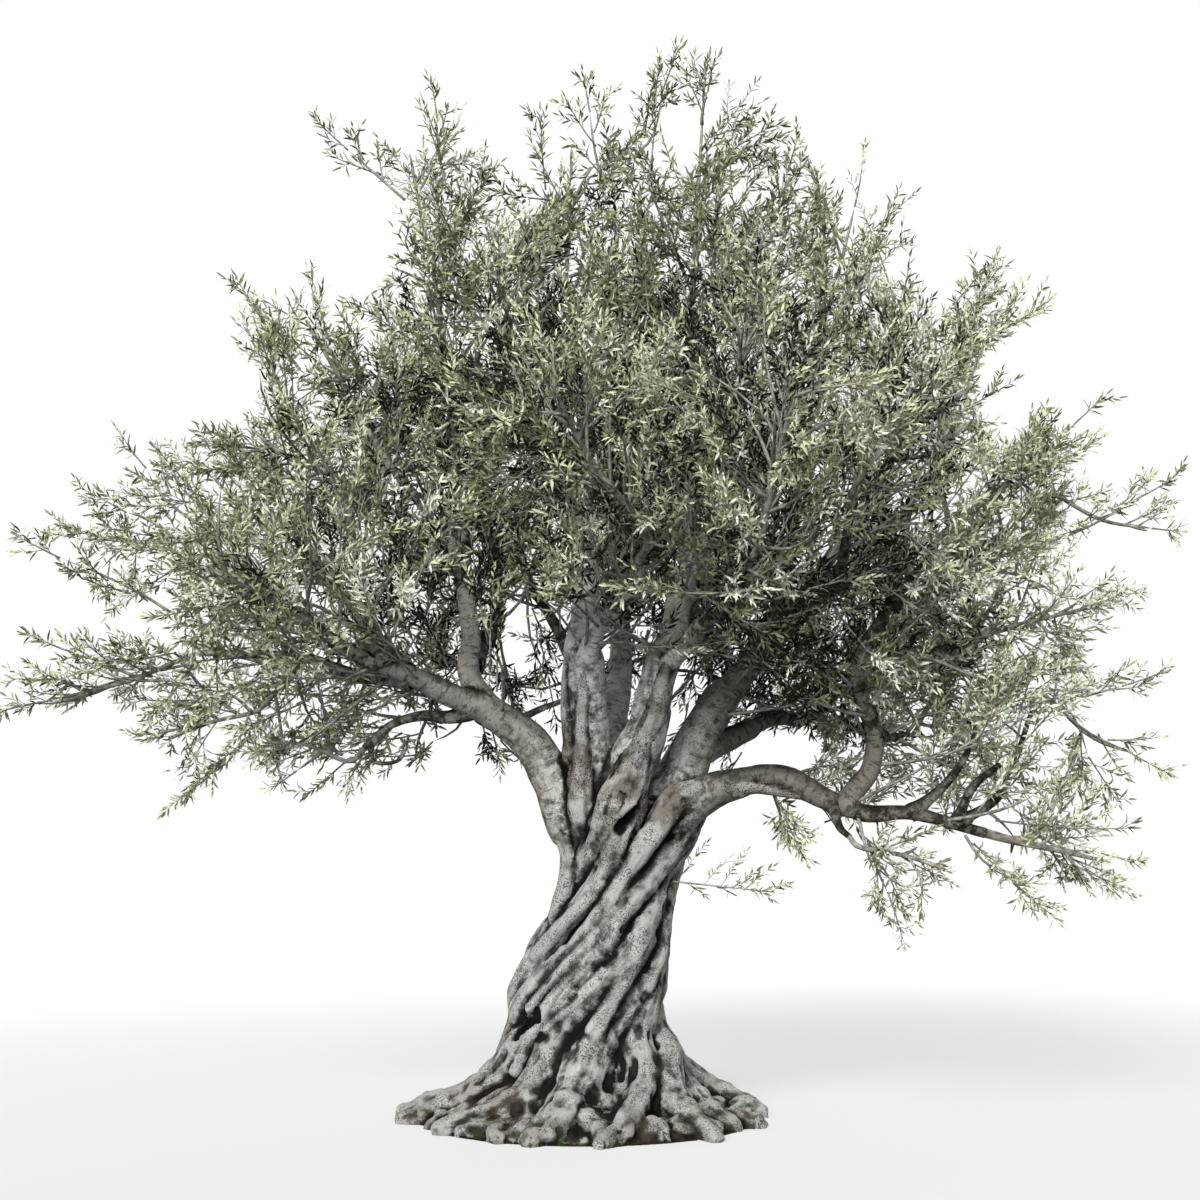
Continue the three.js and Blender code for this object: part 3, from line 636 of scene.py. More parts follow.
def trunk_limbs():
    """The cords of the twisted trunk, thinner ones across them, surface roots and burls."""
    draw = seeded_random(TRUNK_SEED)
    made = []
    for number in range(CORD_COUNT):
        foot = (number + 0.5 * (draw() - 0.5)) / CORD_COUNT * 2 * math.pi
        thickness = 0.78 + 0.42 * draw()
        reach = TOE_REACH * (0.88 + 0.14 * draw())
        phase = 2 * math.pi * draw()
        places, radii = cord_points(foot, thickness, reach, phase)
        more_places, more_radii = follow_bough(places[-1], radii[-1])
        places, radii = np.vstack([places, more_places]), np.append(radii, more_radii)
        made.append(cord_limb(f"cord_{number}", places, radii))
    for number in range(THIN_CORD_COUNT):
        foot = (number + 0.8 * draw()) / THIN_CORD_COUNT * 2 * math.pi
        phase = 2 * math.pi * draw()
        twist = TRUNK_TWIST * (0.72 + 0.62 * draw())
        low = 240 + 380 * draw()
        heights = [low + step * (380 + 260 * draw()) / 3 for step in range(4)]
        places, radii = [], []
        for step, height in enumerate(heights):
            radius = (0.6, 1, 0.9, 0.5)[step] * (30 + 14 * draw())
            out = outer_radius(height) * (1.0 if height > 330 else 1.1) - radius * 0.7
            angle = foot + twist * height / TRUNK_TOP + 0.1 * math.sin(phase + step)
            places.append(around_trunk(out, angle, height, lean_at(height)))
            radii.append(radius)
        made.append(cord_limb(f"thin_cord_{number}", metres(places), metres(radii)))
    for number in range(ROOT_COUNT):
        angle = (number + 0.6 * draw()) / ROOT_COUNT * 2 * math.pi
        reach = TOE_REACH * (0.62 + 0.38 * draw())
        bend = 0.3 * (draw() - 0.5)
        girth = 32 + 34 * draw()
        phase = 2 * math.pi * draw()
        places = []
        for share, height in ((0.36, 300), (0.6, 130), (0.82, 58), (1, 14)):
            turn = angle + bend * share + 0.1 * math.sin(phase + 9 * share)
            places.append(around_trunk(share * reach, turn, height))
        radii = [girth, girth * 1.1, girth, 0.72 * girth]
        made.append(cord_limb(f"root_{number}", metres(places), metres(radii)))
    for number in range(BURL_COUNT):
        angle = (number + draw()) / BURL_COUNT * 2 * math.pi
        out = TOE_REACH * (0.5 + 0.42 * draw())
        size = 45 + 40 * draw()
        places = []
        for step in (0, 0.5, 1):
            turn = angle + 0.12 * step * (draw() - 0.3)
            place = out + step * 90 * draw()
            places.append(around_trunk(place, turn, 20 + 40 * (1 - out / TOE_REACH)))
        radii = [0.8 * size, size, 0.7 * size]
        made.append(cord_limb(f"burl_{number}", metres(places), metres(radii)))
    return made


# The trunk's solid heart: its radius at some heights.
CORE = [
    (-60, 880), (0, 825), (50, 700), (130, 555), (240, 415), (460, 272), (WAIST_HEIGHT - 20, 180),
    (TRUNK_TOP - 170, 225), (TRUNK_TOP - 20, 180)]

# Hollows in the trunk and its fork: both ends of each and its radius.
HOLLOWS = [
    ((170, -380, 1440), (325, -340, 1610), 42), ((325, -340, 1610), (455, -220, 1700), 40),
    ((-20, -365, 1010), (90, -350, 1200), 22),
    ((-330, -215, 420), (-235, -285, 530), 46), ((205, -450, 200), (215, -385, 330), 27),
    ((345, -250, 330), (330, -230, 470), 24), ((-60, -330, 560), (0, -330, 650), 22)]


def core_distance(points):
    """Rough distance from the trunk's solid heart."""
    heights, radii = np.array(CORE).T / 1000
    lean = lean_at(points[:, 2] * 1000) / 1000
    out = np.hypot(points[:, 0] - lean, points[:, 1])
    radius = np.interp(points[:, 2], heights, radii)
    middles = (heights[1:] + heights[:-1]) / 2
    slope = np.interp(points[:, 2], middles, np.diff(radii) / np.diff(heights))
    side = (out - radius) / np.sqrt(1 + slope ** 2)
    return np.maximum(side, points[:, 2] - heights[-1])


# ---- bark: one skin over the trunk and its thick boughs ------------------------------------------


def thick_part(limb):
    """How many samples of a limb are thick enough for the skin."""
    thick = np.nonzero(limb.radii >= THICK_LIMB)[0]
    return 0 if len(thick) < 6 or limb.radii[0] < 0.05 else int(thick[-1]) + 1


def even_limb(name, kind, path, count, foot_radius, tip_radius):
    """A limb on a smooth curve with an even taper."""
    points = Curve(metres(path)).point(np.linspace(0, 1, count))
    return Limb(name, kind, points, np.linspace(foot_radius, tip_radius, count))


# Limbs that are wider at their feet in the photograph than in the solids, and by what share.
WIDENED = {"right_main": 0.2, "centre_left": 0.08, "centre_right": 0.1}
for name, gain in WIDENED.items():
    limb = limbs[name]
    limb.radii = limb.radii * (1 + gain * smooth_step(1.4, 0.8, limb.along))

skinned = {}
for limb in limbs.values():
    count = thick_part(limb)
    if count:
        first = 6 if limb_rows[limb.name][0] == "trunk" else 0
        part = Limb(limb.name, "bough", limb.points[first:count], limb.radii[first:count])
        fade = smooth_step(0, HANDOVER, part.along[-1] - part.along)
        part.radii = part.radii * (0.86 + 0.14 * fade)
        skinned[limb.name] = part
# Old wood that closes the fork behind the right limb.
saddle = even_limb(
    "saddle", "bough", [(350, 10, 1480), (470, 110, 1790), (660, 230, 2150)], 14, 0.11, 0.05)
# The foot of the left limb, which runs on down the edge of the trunk.
shoulder = even_limb("shoulder", "trunk", [
    (-165, -80, 1640), (-108, -95, 1450), (-78, -120, 1300), (-110, -135, 1150),
    (-160, -125, 1000)], 20, 0.08, 0.035)
skin_limbs = [*trunk_limbs(), *skinned.values(), saddle, shoulder]
hollows = [
    Limb("hollow", "trunk", metres([start, end]), metres([radius, radius]))
    for start, end, radius in HOLLOWS]


def nearness(gap, blend):
    """A share that grows fast from 0 as a gap closes, for the smooth blend of skins."""
    return np.exp(-np.clip(gap / blend, -40, 40))


def skin_distance(points, near):
    """Distance from the skin that runs smoothly over the core and the limbs near the points."""
    total = nearness(core_distance(points), SKIN_BLEND)
    for limb, segments in near:
        gap, _, _ = limb.nearest(points, segments)
        soft = SKIN_BLEND if limb.kind == "trunk" else 1.6 * SKIN_BLEND
        total += nearness(gap, soft) ** (soft / SKIN_BLEND)
    distance = -SKIN_BLEND * np.log(total)
    for hollow in hollows:
        gap, _, _ = hollow.nearest(points)
        distance = np.maximum(distance, -gap)
    return distance


def near_segments(centre, reach):
    """The limbs that come within reach of a point, with the segments of each that do."""
    near = []
    for limb in skin_limbs:
        gap = np.linalg.norm(limb.points - centre, axis=1) - limb.radii
        close = np.nonzero(gap < reach)[0]
        if len(close):
            last = min(close[-1] + 1, len(limb.points) - 1)
            near.append((limb, range(max(close[0] - 1, 0), last)))
    return near


def skin_grid():
    """Distances on a grid over the trunk and thick boughs, worked out only near the skin."""
    points = np.vstack([limb.points for limb in skin_limbs])
    radii = np.concatenate([limb.radii for limb in skin_limbs])[:, None]
    low = (points - radii).min(axis=0) - SKIN_MARGIN
    high = (points + radii).max(axis=0) + SKIN_MARGIN
    block = CELLS_PER_BLOCK
    side = block * BARK_CELL
    low[2] = 0
    blocks = np.ceil((high - low) / side).astype(int)
    grid = np.full(blocks * block + 1, 1.0, np.float32)
    steps = np.arange(block + 1) * BARK_CELL
    local = np.stack(np.meshgrid(steps, steps, steps, indexing="ij"), axis=-1).reshape(-1, 3)
    half = side * math.sqrt(3) / 2
    reach = half + SKIN_MARGIN
    for number in product(*(range(n) for n in blocks)):
        corner = low + np.array(number) * side
        centre = corner + side / 2
        near = near_segments(centre, reach)
        core = core_distance(centre[None])[0]
        if not near and abs(core) > reach:
            if core < 0:
                fill(grid, number, block, -1)
            continue
        middle = skin_distance(centre[None], near)[0]
        if middle < -half - 0.07:
            fill(grid, number, block, -1)
            continue
        at = tuple(slice(n * block, n * block + block + 1) for n in number)
        grid[at] = skin_distance(corner + local, near).reshape([block + 1] * 3)
    return low, grid


def fill(grid, number, block, value):
    """Marks a block that is all inside; its faces are left to its neighbours."""
    at = tuple(slice(n * block + 1, n * block + block) for n in number)
    grid[at] = value
    for axis in range(3):
        for end in (0, block):
            face = [slice(n * block, n * block + block + 1) for n in number]
            face[axis] = number[axis] * block + end
            part = grid[tuple(face)]
            part[part == 1.0] = value


def surface_of(low, grid):
    """Corners and four-sided faces of the grid's zero level."""
    inside = grid < 0
    corners = list(product((0, 1), repeat=3))
    views = [
        inside[tuple(slice(start, n - 1 + start) for start, n in zip(corner, grid.shape))]
        for corner in corners]
    cells = np.logical_or.reduce(views) & ~np.logical_and.reduce(views)
    active = np.argwhere(cells)
    values = np.stack([grid[tuple((active + corner).T)] for corner in corners], axis=1)
    total = np.zeros((len(active), 3))
    crossings = np.zeros(len(active))
    for a, b in product(range(8), repeat=2):
        step = np.subtract(corners[b], corners[a])
        if a < b and np.abs(step).sum() == 1:
            crossed = (values[:, a] < 0) != (values[:, b] < 0)
            change = np.where(crossed, values[:, a] - values[:, b], 1)
            share = np.where(crossed, values[:, a] / change, 0)
            total += crossed[:, None] * (np.array(corners[a]) + share[:, None] * step)
            crossings += crossed
    points = low + (active + total / crossings[:, None]) * BARK_CELL
    points[active[:, 2] == 0, 2] = 0
    number = np.full(cells.shape, -1, np.int32)
    number[cells] = np.arange(len(active))
    faces = []
    shape = grid.shape
    for axis in range(3):
        first = [slice(0, n) for n in shape]
        second = [slice(0, n) for n in shape]
        first[axis] = slice(0, shape[axis] - 1)
        second[axis] = slice(1, shape[axis])
        leaving = inside[tuple(first)] & ~inside[tuple(second)]
        entering = ~inside[tuple(first)] & inside[tuple(second)]
        one, two = (axis + 1) % 3, (axis + 2) % 3
        for crossed, order in ((leaving, (0, 1, 2, 3)), (entering, (3, 2, 1, 0))):
            edges = np.argwhere(crossed)
            keep = (edges[:, one] > 0) & (edges[:, two] > 0)
            keep &= (edges[:, one] < shape[one] - 1) & (edges[:, two] < shape[two] - 1)
            edges = edges[keep]
            around = []
            for u, v in ((1, 1), (0, 1), (0, 0), (1, 0)):
                cell = edges.copy()
                cell[:, one] -= u
                cell[:, two] -= v
                around.append(number[tuple(cell.T)])
            faces.append(np.stack([around[i] for i in order], axis=1))
    return points, np.vstack(faces)


def normals_of(points, faces):
    """A unit normal at each corner of a mesh of four-sided faces."""
    a, b, c, d = (points[column] for column in faces.T)
    flat = np.cross(c - a, d - b)
    total = np.zeros_like(points)
    for column in range(faces.shape[1]):
        for axis in range(3):
            total[:, axis] += np.bincount(faces[:, column], flat[:, axis], len(points))
    return unit(total)


def smoothed(values, faces, rounds):
    """Values averaged over neighbouring corners again and again."""
    pairs = np.vstack([faces[:, [i, (i + 1) % 4]] for i in range(4)])
    counts = np.maximum(np.bincount(pairs[:, 0], minlength=len(values)), 1)
    for _ in range(rounds):
        total = np.stack([
            np.bincount(pairs[:, 0], values[pairs[:, 1], axis], len(values))
            for axis in range(values.shape[1])], axis=1)
        values = 0.3 * values + 0.7 * total / counts[:, None]
    return values


def between(values, which, share):
    """A limb's values at places between its samples."""
    part = share[:, None] if values.ndim == 2 else share
    return values[which] * (1 - part) + values[which + 1] * part


def grain_of(points, limb_list):
    """For each point its limb's number, radius and place in that limb's straightened grain."""
    best = np.full(len(points), 1e9)
    grain = np.zeros((len(points), 3))
    number = np.zeros(len(points), int)
    radius = np.zeros(len(points))
    for i, limb in enumerate(limb_list):
        margin = limb.radii.max() + 0.12
        low, high = limb.points.min(axis=0) - margin, limb.points.max(axis=0) + margin
        near = np.nonzero(np.all((points > low) & (points < high), axis=1))[0]
        if not len(near):
            continue
        gap, which, share = limb.nearest(points[near])
        closer = gap < best[near]
        chosen, which, share = near[closer], which[closer], share[closer]
        best[chosen] = gap[closer]
        number[chosen] = i
        middle, side, lift, along, thickness = (
            between(values, which, share)
            for values in (limb.points, limb.sides, limb.lifts, limb.along, limb.radii))
        offset = points[chosen] - middle
        grain[chosen] = np.stack([(offset * side).sum(1), (offset * lift).sum(1), along], axis=1)
        radius[chosen] = thickness
    return number, radius, grain


def relief(points, grain, number, radius, trunk_share):
    """Height of the bark: long ridges, lumps, small knobs and scattered pits."""
    shifted = grain + number[:, None] * np.array([0.37, 0.61, 0.83])
    height = 0
    for seed, (strength, in_grain, squeeze, cell) in enumerate(BARK_LAYERS, 1):
        height = height + strength * noise((shifted if in_grain else points) * squeeze, cell, seed)
    pits = smooth_step(0.60, 0.85, noise(shifted * (1, 1, 0.5) + 3, 0.06, 6))
    scale = np.clip(radius / 0.1, 0.25, 1)
    rough = 0.35 + 0.65 * trunk_share + 0.7 * trunk_share * smooth_step(0.35, 0.05, points[:, 2])
    foot = trunk_share * smooth_step(0.5, 0.12, points[:, 2])
    broken = 0.016 * noise(points, 0.10, 7) + 0.011 * noise(points, 0.055, 8)
    return scale * rough * height + foot * broken - 0.011 * pits * trunk_share


def mesh_object(name, points, faces, attributes=(), smooth=True):
    """A mesh from arrays; every face has the same number of corners."""
    mesh = bpy.data.meshes.new(name)
    sides = faces.shape[1]
    mesh.vertices.add(len(points))
    mesh.vertices.foreach_set("co", np.ascontiguousarray(points, np.float32).ravel())
    mesh.loops.add(faces.size)
    mesh.loops.foreach_set("vertex_index", np.ascontiguousarray(faces, np.int32).ravel())
    mesh.polygons.add(len(faces))
    mesh.polygons.foreach_set("loop_start", np.arange(0, faces.size, sides, dtype=np.int32))
    mesh.polygons.foreach_set("use_smooth", np.full(len(faces), smooth))
    for title, values in attributes:
        kind = "FLOAT" if values.ndim == 1 else "FLOAT_VECTOR"
        data = mesh.attributes.new(title, kind, "POINT").data
        field = "value" if values.ndim == 1 else "vector"
        data.foreach_set(field, np.ascontiguousarray(values, np.float32).ravel())
    mesh.update(calc_edges=True)
    made = bpy.data.objects.new(name, mesh)
    bpy.context.scene.collection.objects.link(made)
    return made


def part_of(points, faces, attributes, keep):
    """The kept faces with only the corners that they use."""
    faces = faces[keep]
    used, renumbered = np.unique(faces, return_inverse=True)
    attributes = [(title, values[used]) for title, values in attributes]
    return points[used], renumbered.reshape(faces.shape), attributes


def bark_skin():
    """The skin with its relief: corners, faces, which are the trunk's, cavity and grain."""
    low, grid = skin_grid()
    points, faces = surface_of(low, grid)
    number, radius, grain = grain_of(points, skin_limbs)
    in_trunk = np.array([limb.kind == "trunk" for limb in skin_limbs])[number]
    trunk_share = smoothed(in_trunk[:, None].astype(float), faces, 8)[:, 0]
    normals = normals_of(points, faces)
    height = relief(points, grain, number, radius, trunk_share)
    grounded = points[:, 2] <= 0
    height = np.where(grounded, np.minimum(height, 0), height)
    moved = points + normals * height[:, None]
    moved[grounded, 2] = 0
    moved[:, 2] = np.maximum(moved[:, 2], 0)
    return moved, faces, in_trunk, cavity_of(moved, faces), grain


def cavity_of(points, faces):
    """How far each corner lies below the smoothed skin around it, in centimetres."""
    normals = normals_of(points, faces)
    near = smoothed(points, faces, 6)
    far = smoothed(near, faces, 26)
    fine = ((near - points) * normals).sum(axis=1)
    broad = ((far - points) * normals).sum(axis=1)
    return 100 * (0.6 * fine + 0.7 * broad)


# ---- boughs and stems as tubes -------------------------------------------------------------------


def tube(limb, first, sides):
    """Corners, faces, grain, radii and outward directions of a limb's skin from a sample on."""
    start = limb.along[first]
    count = max(int((limb.along[-1] - start) / TUBE_RING_GAP), 3)
    along = np.linspace(start, limb.along[-1], count + 1)

    def at(values):
        return np.stack([np.interp(along, limb.along, column) for column in values.T], axis=-1)

    centre, side, lift = at(limb.points), unit(at(limb.sides)), unit(at(limb.lifts))
    radius = np.interp(along, limb.along, limb.radii)
    angle = np.arange(sides) / sides * 2 * math.pi
    circle = np.stack([np.cos(angle), np.sin(angle)], axis=1)
    around = side[:, None] * circle[None, :, :1] + lift[:, None] * circle[None, :, 1:]
    ring = radius[:, None, None] * around
    tip = centre[-1] + unit(limb.headings[-1]) * 0.4 * radius[-1]
    points = np.vstack([(centre[:, None] + ring).reshape(-1, 3), tip])
    flat = [radius[:, None] * circle[None, :, i] for i in range(2)]
    local = np.stack(np.broadcast_arrays(*flat, along[:, None]), axis=-1)
    grain = np.vstack([local.reshape(-1, 3), [0, 0, along[-1]]])
    rings = np.arange(count)[:, None] * sides
    turn = np.arange(sides)[None]
    after = (turn + 1) % sides
    corners = [rings + turn, rings + after, rings + sides + after, rings + sides + turn]
    below, above = (
        np.stack([corners[i] for i in order], axis=-1).reshape(-1, 3)
        for order in ((0, 1, 2), (0, 2, 3)))
    last = count * sides
    cap = np.stack([last + turn[0], last + after[0], np.full(sides, last + sides)], axis=-1)
    outward = unit((ring / radius[:, None, None]).reshape(-1, 3))
    outward = np.vstack([outward, limb.headings[-1]])
    radius = np.append(np.repeat(radius, sides), radius[-1])
    return points, np.vstack([below, above, cap]), grain, radius, outward


def collect(parts):
    """Joins corners and faces of several parts."""
    offset = 0
    points, faces = [], []
    for part_points, part_faces in parts:
        points.append(part_points)
        faces.append(part_faces + offset)
        offset += len(part_points)
    return np.vstack(points), np.vstack(faces)


def thin_boughs():
    """Tubes for the boughs and snags that are too thin for the skin, or go on from it."""
    parts, grains, cavities = [], [], []
    for seed, (name, limb) in enumerate(limbs.items(), 40):
        first = 0
        if name in skinned:
            end = limb.sample_near(skinned[name].points[-1])
            first = int(np.searchsorted(limb.along, limb.along[end] - HANDOVER))
            fade = smooth_step(0, 0.6 * HANDOVER, limb.along - limb.along[first])
            radii = limb.radii * (0.88 + 0.12 * fade)
        else:
            parent = limbs[limb_rows[name][0]]
            beyond = np.maximum(limb.along - parent.radii[parent.sample_near(limb.points[0])], 0)
            radii = limb.radii * (1 + 0.55 * np.exp(-beyond / (1.5 * limb.radii[0])))
        shaped = Limb(name, "bough", limb.points, radii)
        sides = int(np.clip(2 * math.pi * radii[first:].mean() / TUBE_SIDE, 8, 22))
        points, faces, grain, radius, outward = tube(shaped, first, sides)
        count = len(points)
        height = relief(points, grain, np.full(count, seed), radius, np.zeros(count))
        parts.append((points + outward * height[:, None], faces))
        grains.append(grain)
        cavities.append(-height * 100)
    return *collect(parts), np.vstack(grains), np.concatenate(cavities)


# ---- foliage: where each mass grows --------------------------------------------------------------


class Mass:
    """A mass of foliage: its stem and the space that it keeps to, as in the source."""

    def __init__(self, name, tip, width, foot, heading, foot_radius, seed):
        tip = metres(tip)
        reach = np.linalg.norm(tip - foot)
        start = foot + heading * JOINT_GAP
        path = [
            start, start + heading * 0.16 * reach, start + (tip - start) * 0.45,
            start + (tip - start) * 0.78]
        self.name = name
        self.curve = Curve(path)
        self.stem = StraightLine(self.curve.point_at(np.linspace(0, 1, 4)))
        self.girth = (foot_radius * 1000, STEM_TIP, 1)
        self.centre = (foot + tip) / 2
        self.axis = unit(tip - foot)
        self.half = reach / 2
        self.width = width / 1000
        self.seed = seed

    def depth(self, points):
        """0 at the middle of the mass's space and 1 at its edge."""
        offset = points - self.centre
        along = offset @ self.axis
        across = (offset ** 2).sum(axis=-1) - along ** 2
        return along ** 2 / self.half ** 2 + across / self.width ** 2


masses = []
for i, (name, (bough, tip, width)) in enumerate(MASSES.items()):
    end, heading = curves[bough].point_at(1), curves[bough].heading_at(1)
    masses.append(Mass(name, tip, width, end, heading, BOUGHS[bough][1][1] / 1000, 100 + i))
sprig_foot = metres(SPRIG_FOOT)
sprig_heading = unit(metres(SPRIG_TIP) - sprig_foot)
masses.append(Mass("trunk_sprig", SPRIG_TIP, SPRIG_WIDTH, sprig_foot, sprig_heading, 0.012, 90))


def samples_along(curve, girth):
    """Points along a limb, each with the limb's radius there."""
    count = math.ceil(curve.length / SAMPLE_STEP)
    shares = np.arange(count + 1) / count
    return np.column_stack([curve.point_at(shares), girth_at(girth, shares)])


wood = [samples_along(curves[name], girth) for name, (_, girth, _) in limb_rows.items()]
wood.append(np.array([
    (lean_at(z) / 1000, 0, z / 1000, trunk_radius(z) / 1000)
    for z in range(0, TRUNK_TOP + 1, 50)]))
wood = np.vstack(wood)
stems = [samples_along(mass.curve, mass.girth) for mass in masses]


def is_free(mass, points):
    """Whether each point is in the mass's own space and clear of every limb."""
    points = np.atleast_2d(points)
    depth = mass.depth(points)
    free = (depth <= 1) & (points[:, 2] >= GROUND_CLEARANCE)
    for other in masses:
        if other is not mass and free.any():
            free &= other.depth(points) >= depth + MASS_CLEARANCE
    gaps = np.linalg.norm(points[:, None] - mass.nearby[None, :, :3], axis=2)
    return free & np.all(gaps > mass.nearby[:, 3] + LIMB_CLEARANCE, axis=1)


def free_run(mass, start, heading, limit):
    """How far one can go from a point before leaving the free space, up to a limit."""
    count = int(math.ceil(limit / RUN_STEP - 1e-9))
    runs = np.arange(1, count + 1) * RUN_STEP
    free = is_free(mass, start + runs[:, None] * heading) | (runs < FREE_START + RUN_STEP - 1e-9)
    blocked = np.nonzero(~free)[0]
    return min((blocked[0] if len(blocked) else count) * RUN_STEP, limit)


def fit_spray(mass, foot, heading, across, size, least=LEAST_SPRAY_SHARE):
    """A spray shortened until it fits, as (foot, heading, across, length), or None."""
    level = squared(across, heading)
    run = free_run(mass, foot, heading, size)
    for share in (1, 0.8, 0.6):
        length = share * run
        widest = foot + heading * 0.4 * length
        edge = 0.5 * SPRAY_WIDTH * length
        edges = widest + np.array([-1, -0.5, 0.5, 1])[:, None] * level * edge
        if length > least * mass.width and is_free(mass, edges).all():
            return foot, heading, level, length
    return None


def leafy_shoot(mass, draw, shoot, places, size=SPRAY_LENGTH, least=LEAST_SPRAY_SHARE):
    """The sprays at the sides and the end of a twig or stem."""
    middle = shoot.heading_at(0.5)
    across = turned(square_to(middle), middle, draw() * math.pi)
    found = []
    for i, place in enumerate(places):
        turn = side_of(i) * (0.6 + 0.3 * draw())
        length = size * (0.85 + 0.3 * draw())
        heading = unit(shoot.heading_at(place) + across * math.tan(turn))
        found.append(fit_spray(mass, shoot.point_at(place), heading, across, length, least))
    found.append(fit_spray(mass, shoot.point_at(1), shoot.heading_at(1), across, size, least))
    return [spray for spray in found if spray]


def grow_twig(mass, place, turn, draw):
    """A side twig of the stem, or None where there is no room for it."""
    foot = mass.stem.point_at(place)
    onward = mass.stem.heading_at(place)
    outward = turned(square_to(onward), onward, turn)
    spread = 1.15 + (0.75 - 1.15) * place + 0.3 * (draw() - 0.5)
    heading = onward * math.cos(spread) + outward * math.sin(spread)
    length = TWIG_SHARE * free_run(mass, foot, heading, 2 * mass.width)
    if length < LEAST_TWIG:
        return None
    shares = np.array([0.4, 0.6, 0.8, 1])[:, None]
    if not is_free(mass, foot + shares * length * heading).all():
        return None
    return StraightLine([foot, foot + heading * length])


def foliage_of(mass, number):
    """Place on the stem, twig and sprays: all that the source grows, then finer twigs between."""
    reach = mass.half + mass.width + 0.15
    others = [wood, *[stem for i, stem in enumerate(stems) if i != number]]
    around = np.vstack(others)
    mass.nearby = around[np.linalg.norm(around[:, :3] - mass.centre, axis=1) < reach + around[:, 3]]
    draw = seeded_random(mass.seed)
    grown = [(1, None, [spray]) for spray in leafy_shoot(mass, draw, mass.stem, (0.3, 0.52, 0.78))]
    for i in range(TWIGS_PER_MASS):
        draw = seeded_random(mass.seed * 31 + i)
        place = 0.12 + 0.8 * (i + 0.5) / TWIGS_PER_MASS
        twig = grow_twig(mass, place, mass.seed + i * GOLDEN_ANGLE, draw)
        if twig:
            grown.append((place, twig, leafy_shoot(mass, draw, twig, (0.35, 0.75))))
    finer = round(FINER_TWIGS_PER_METRE * mass.width * mass.half / 0.25)
    for i in range(finer):
        draw = seeded_random(mass.seed * 57 + i)
        place = 0.1 + 0.88 * ((0.5 + i * 0.618034) % 1)
        twig = grow_twig(mass, place, mass.seed + 1.2 + i * GOLDEN_ANGLE, draw)
        if twig:
            grown.append((place, twig, leafy_shoot(mass, draw, twig, (0.3, 0.55, 0.8), 0.5, 0.3)))
    return grown


# ---- foliage: fine shoots and leaves -------------------------------------------------------------


def spray_shoots(spray, rng):
    """The bent axis of a spray and its side shoots, as (foot, middle, tip, foot radius) rows."""
    foot, heading, across, length = spray
    lift = np.cross(across, heading)
    rise = np.array([0, 0, 1]) - heading * heading[2]
    bend = 0.10 * rise + 0.07 * rng.normal() * across + 0.05 * rng.normal() * lift
    marks = np.linspace(0, 1, 6)[:, None]
    axis = foot + heading * length * marks + bend * length * marks ** 2
    line = StraightLine(axis)
    count = max(int(length / SHOOT_SPACING), 3)
    rows = []
    for i in range(count):
        place = 0.1 + 0.84 * (i + 0.2 + 0.6 * rng.random()) / count
        start = line.point_at(place)
        onward = line.heading_at(place)
        roll = rng.normal() * 0.75
        out = side_of(i) * (across * math.cos(roll) + lift * math.sin(roll))
        angle = 0.65 + 0.25 * rng.normal()
        direction = unit(onward * math.cos(angle) + out * math.sin(angle))
        size = SHOOT_LENGTH * (1 - 0.55 * place) * (0.6 + 0.6 * rng.random())
        size *= min(length / 0.45, 1.1)
        curl = 0.12 * size * unit(onward + rise * 0.6)
        middle = start + direction * size * 0.5 - curl * 0.2
        tip = start + direction * size + curl * 0.6
        rows.append((start, middle, tip, SHOOT_RADIUS))
    return axis, rows


def leaves_on(line, first, spacing, rng, size=1.0):
    """Opposite pairs of leaves along a shoot: foot, direction, face and length of each."""
    count = int(line.length * (1 - first) / spacing)
    if count < 1:
        return []
    rows = []
    roll = rng.random() * math.pi
    for i in range(count):
        place = min(first + (i + 0.5 + 0.3 * (rng.random() - 0.5)) * spacing / line.length, 1)
        onward = line.heading_at(place)
        start = line.point_at(place)
        side = square_to(onward)
        roll += math.pi / 2 + 0.35 * rng.normal()
        out = turned(side, onward, roll)
        angle = 0.95 - 0.4 * place
        for sign in (-1, 1):
            lean = angle + 0.18 * rng.normal()
            direction = onward * math.cos(lean) + sign * out * math.sin(lean)
            direction = unit(direction + 0.1 * rng.normal(size=3))
            face = np.cross(np.cross(direction, onward), direction)
            face = unit(face + 0.35 * rng.normal(size=3))
            length = LEAF_LENGTH * size * (0.78 + 0.4 * rng.random()) * (1 - 0.25 * place ** 3)
            rows.append((start, direction, face, length))
    onward = line.heading_at(1)
    rows.append((line.point_at(1), onward, square_to(onward), LEAF_LENGTH * 0.8 * size))
    return rows


def pattern_mesh(name, corners, pattern):
    """One mesh of many small pieces that all have the same corners and triangles."""
    points = np.stack(corners, axis=1).reshape(-1, 3)
    starts = np.arange(len(corners[0])) * len(corners)
    faces = (starts[:, None, None] + np.array(pattern)).reshape(-1, 3)
    return mesh_object(name, points, faces)


def leaf_mesh(name, rows):
    """All leaves of one tone: narrow blades of six corners, slightly curved lengthwise."""
    foot, along, face = (np.array([row[i] for row in rows]) for i in range(3))
    length = np.array([row[3] for row in rows])[:, None]
    side = unit(np.cross(face, along))
    face = np.cross(along, side)
    corners = [
        foot + length * (x * along + LEAF_WIDTH * y * side + z * face)
        for x, y, z in LEAF_OUTLINE]
    return pattern_mesh(name, corners, LEAF_FACES)


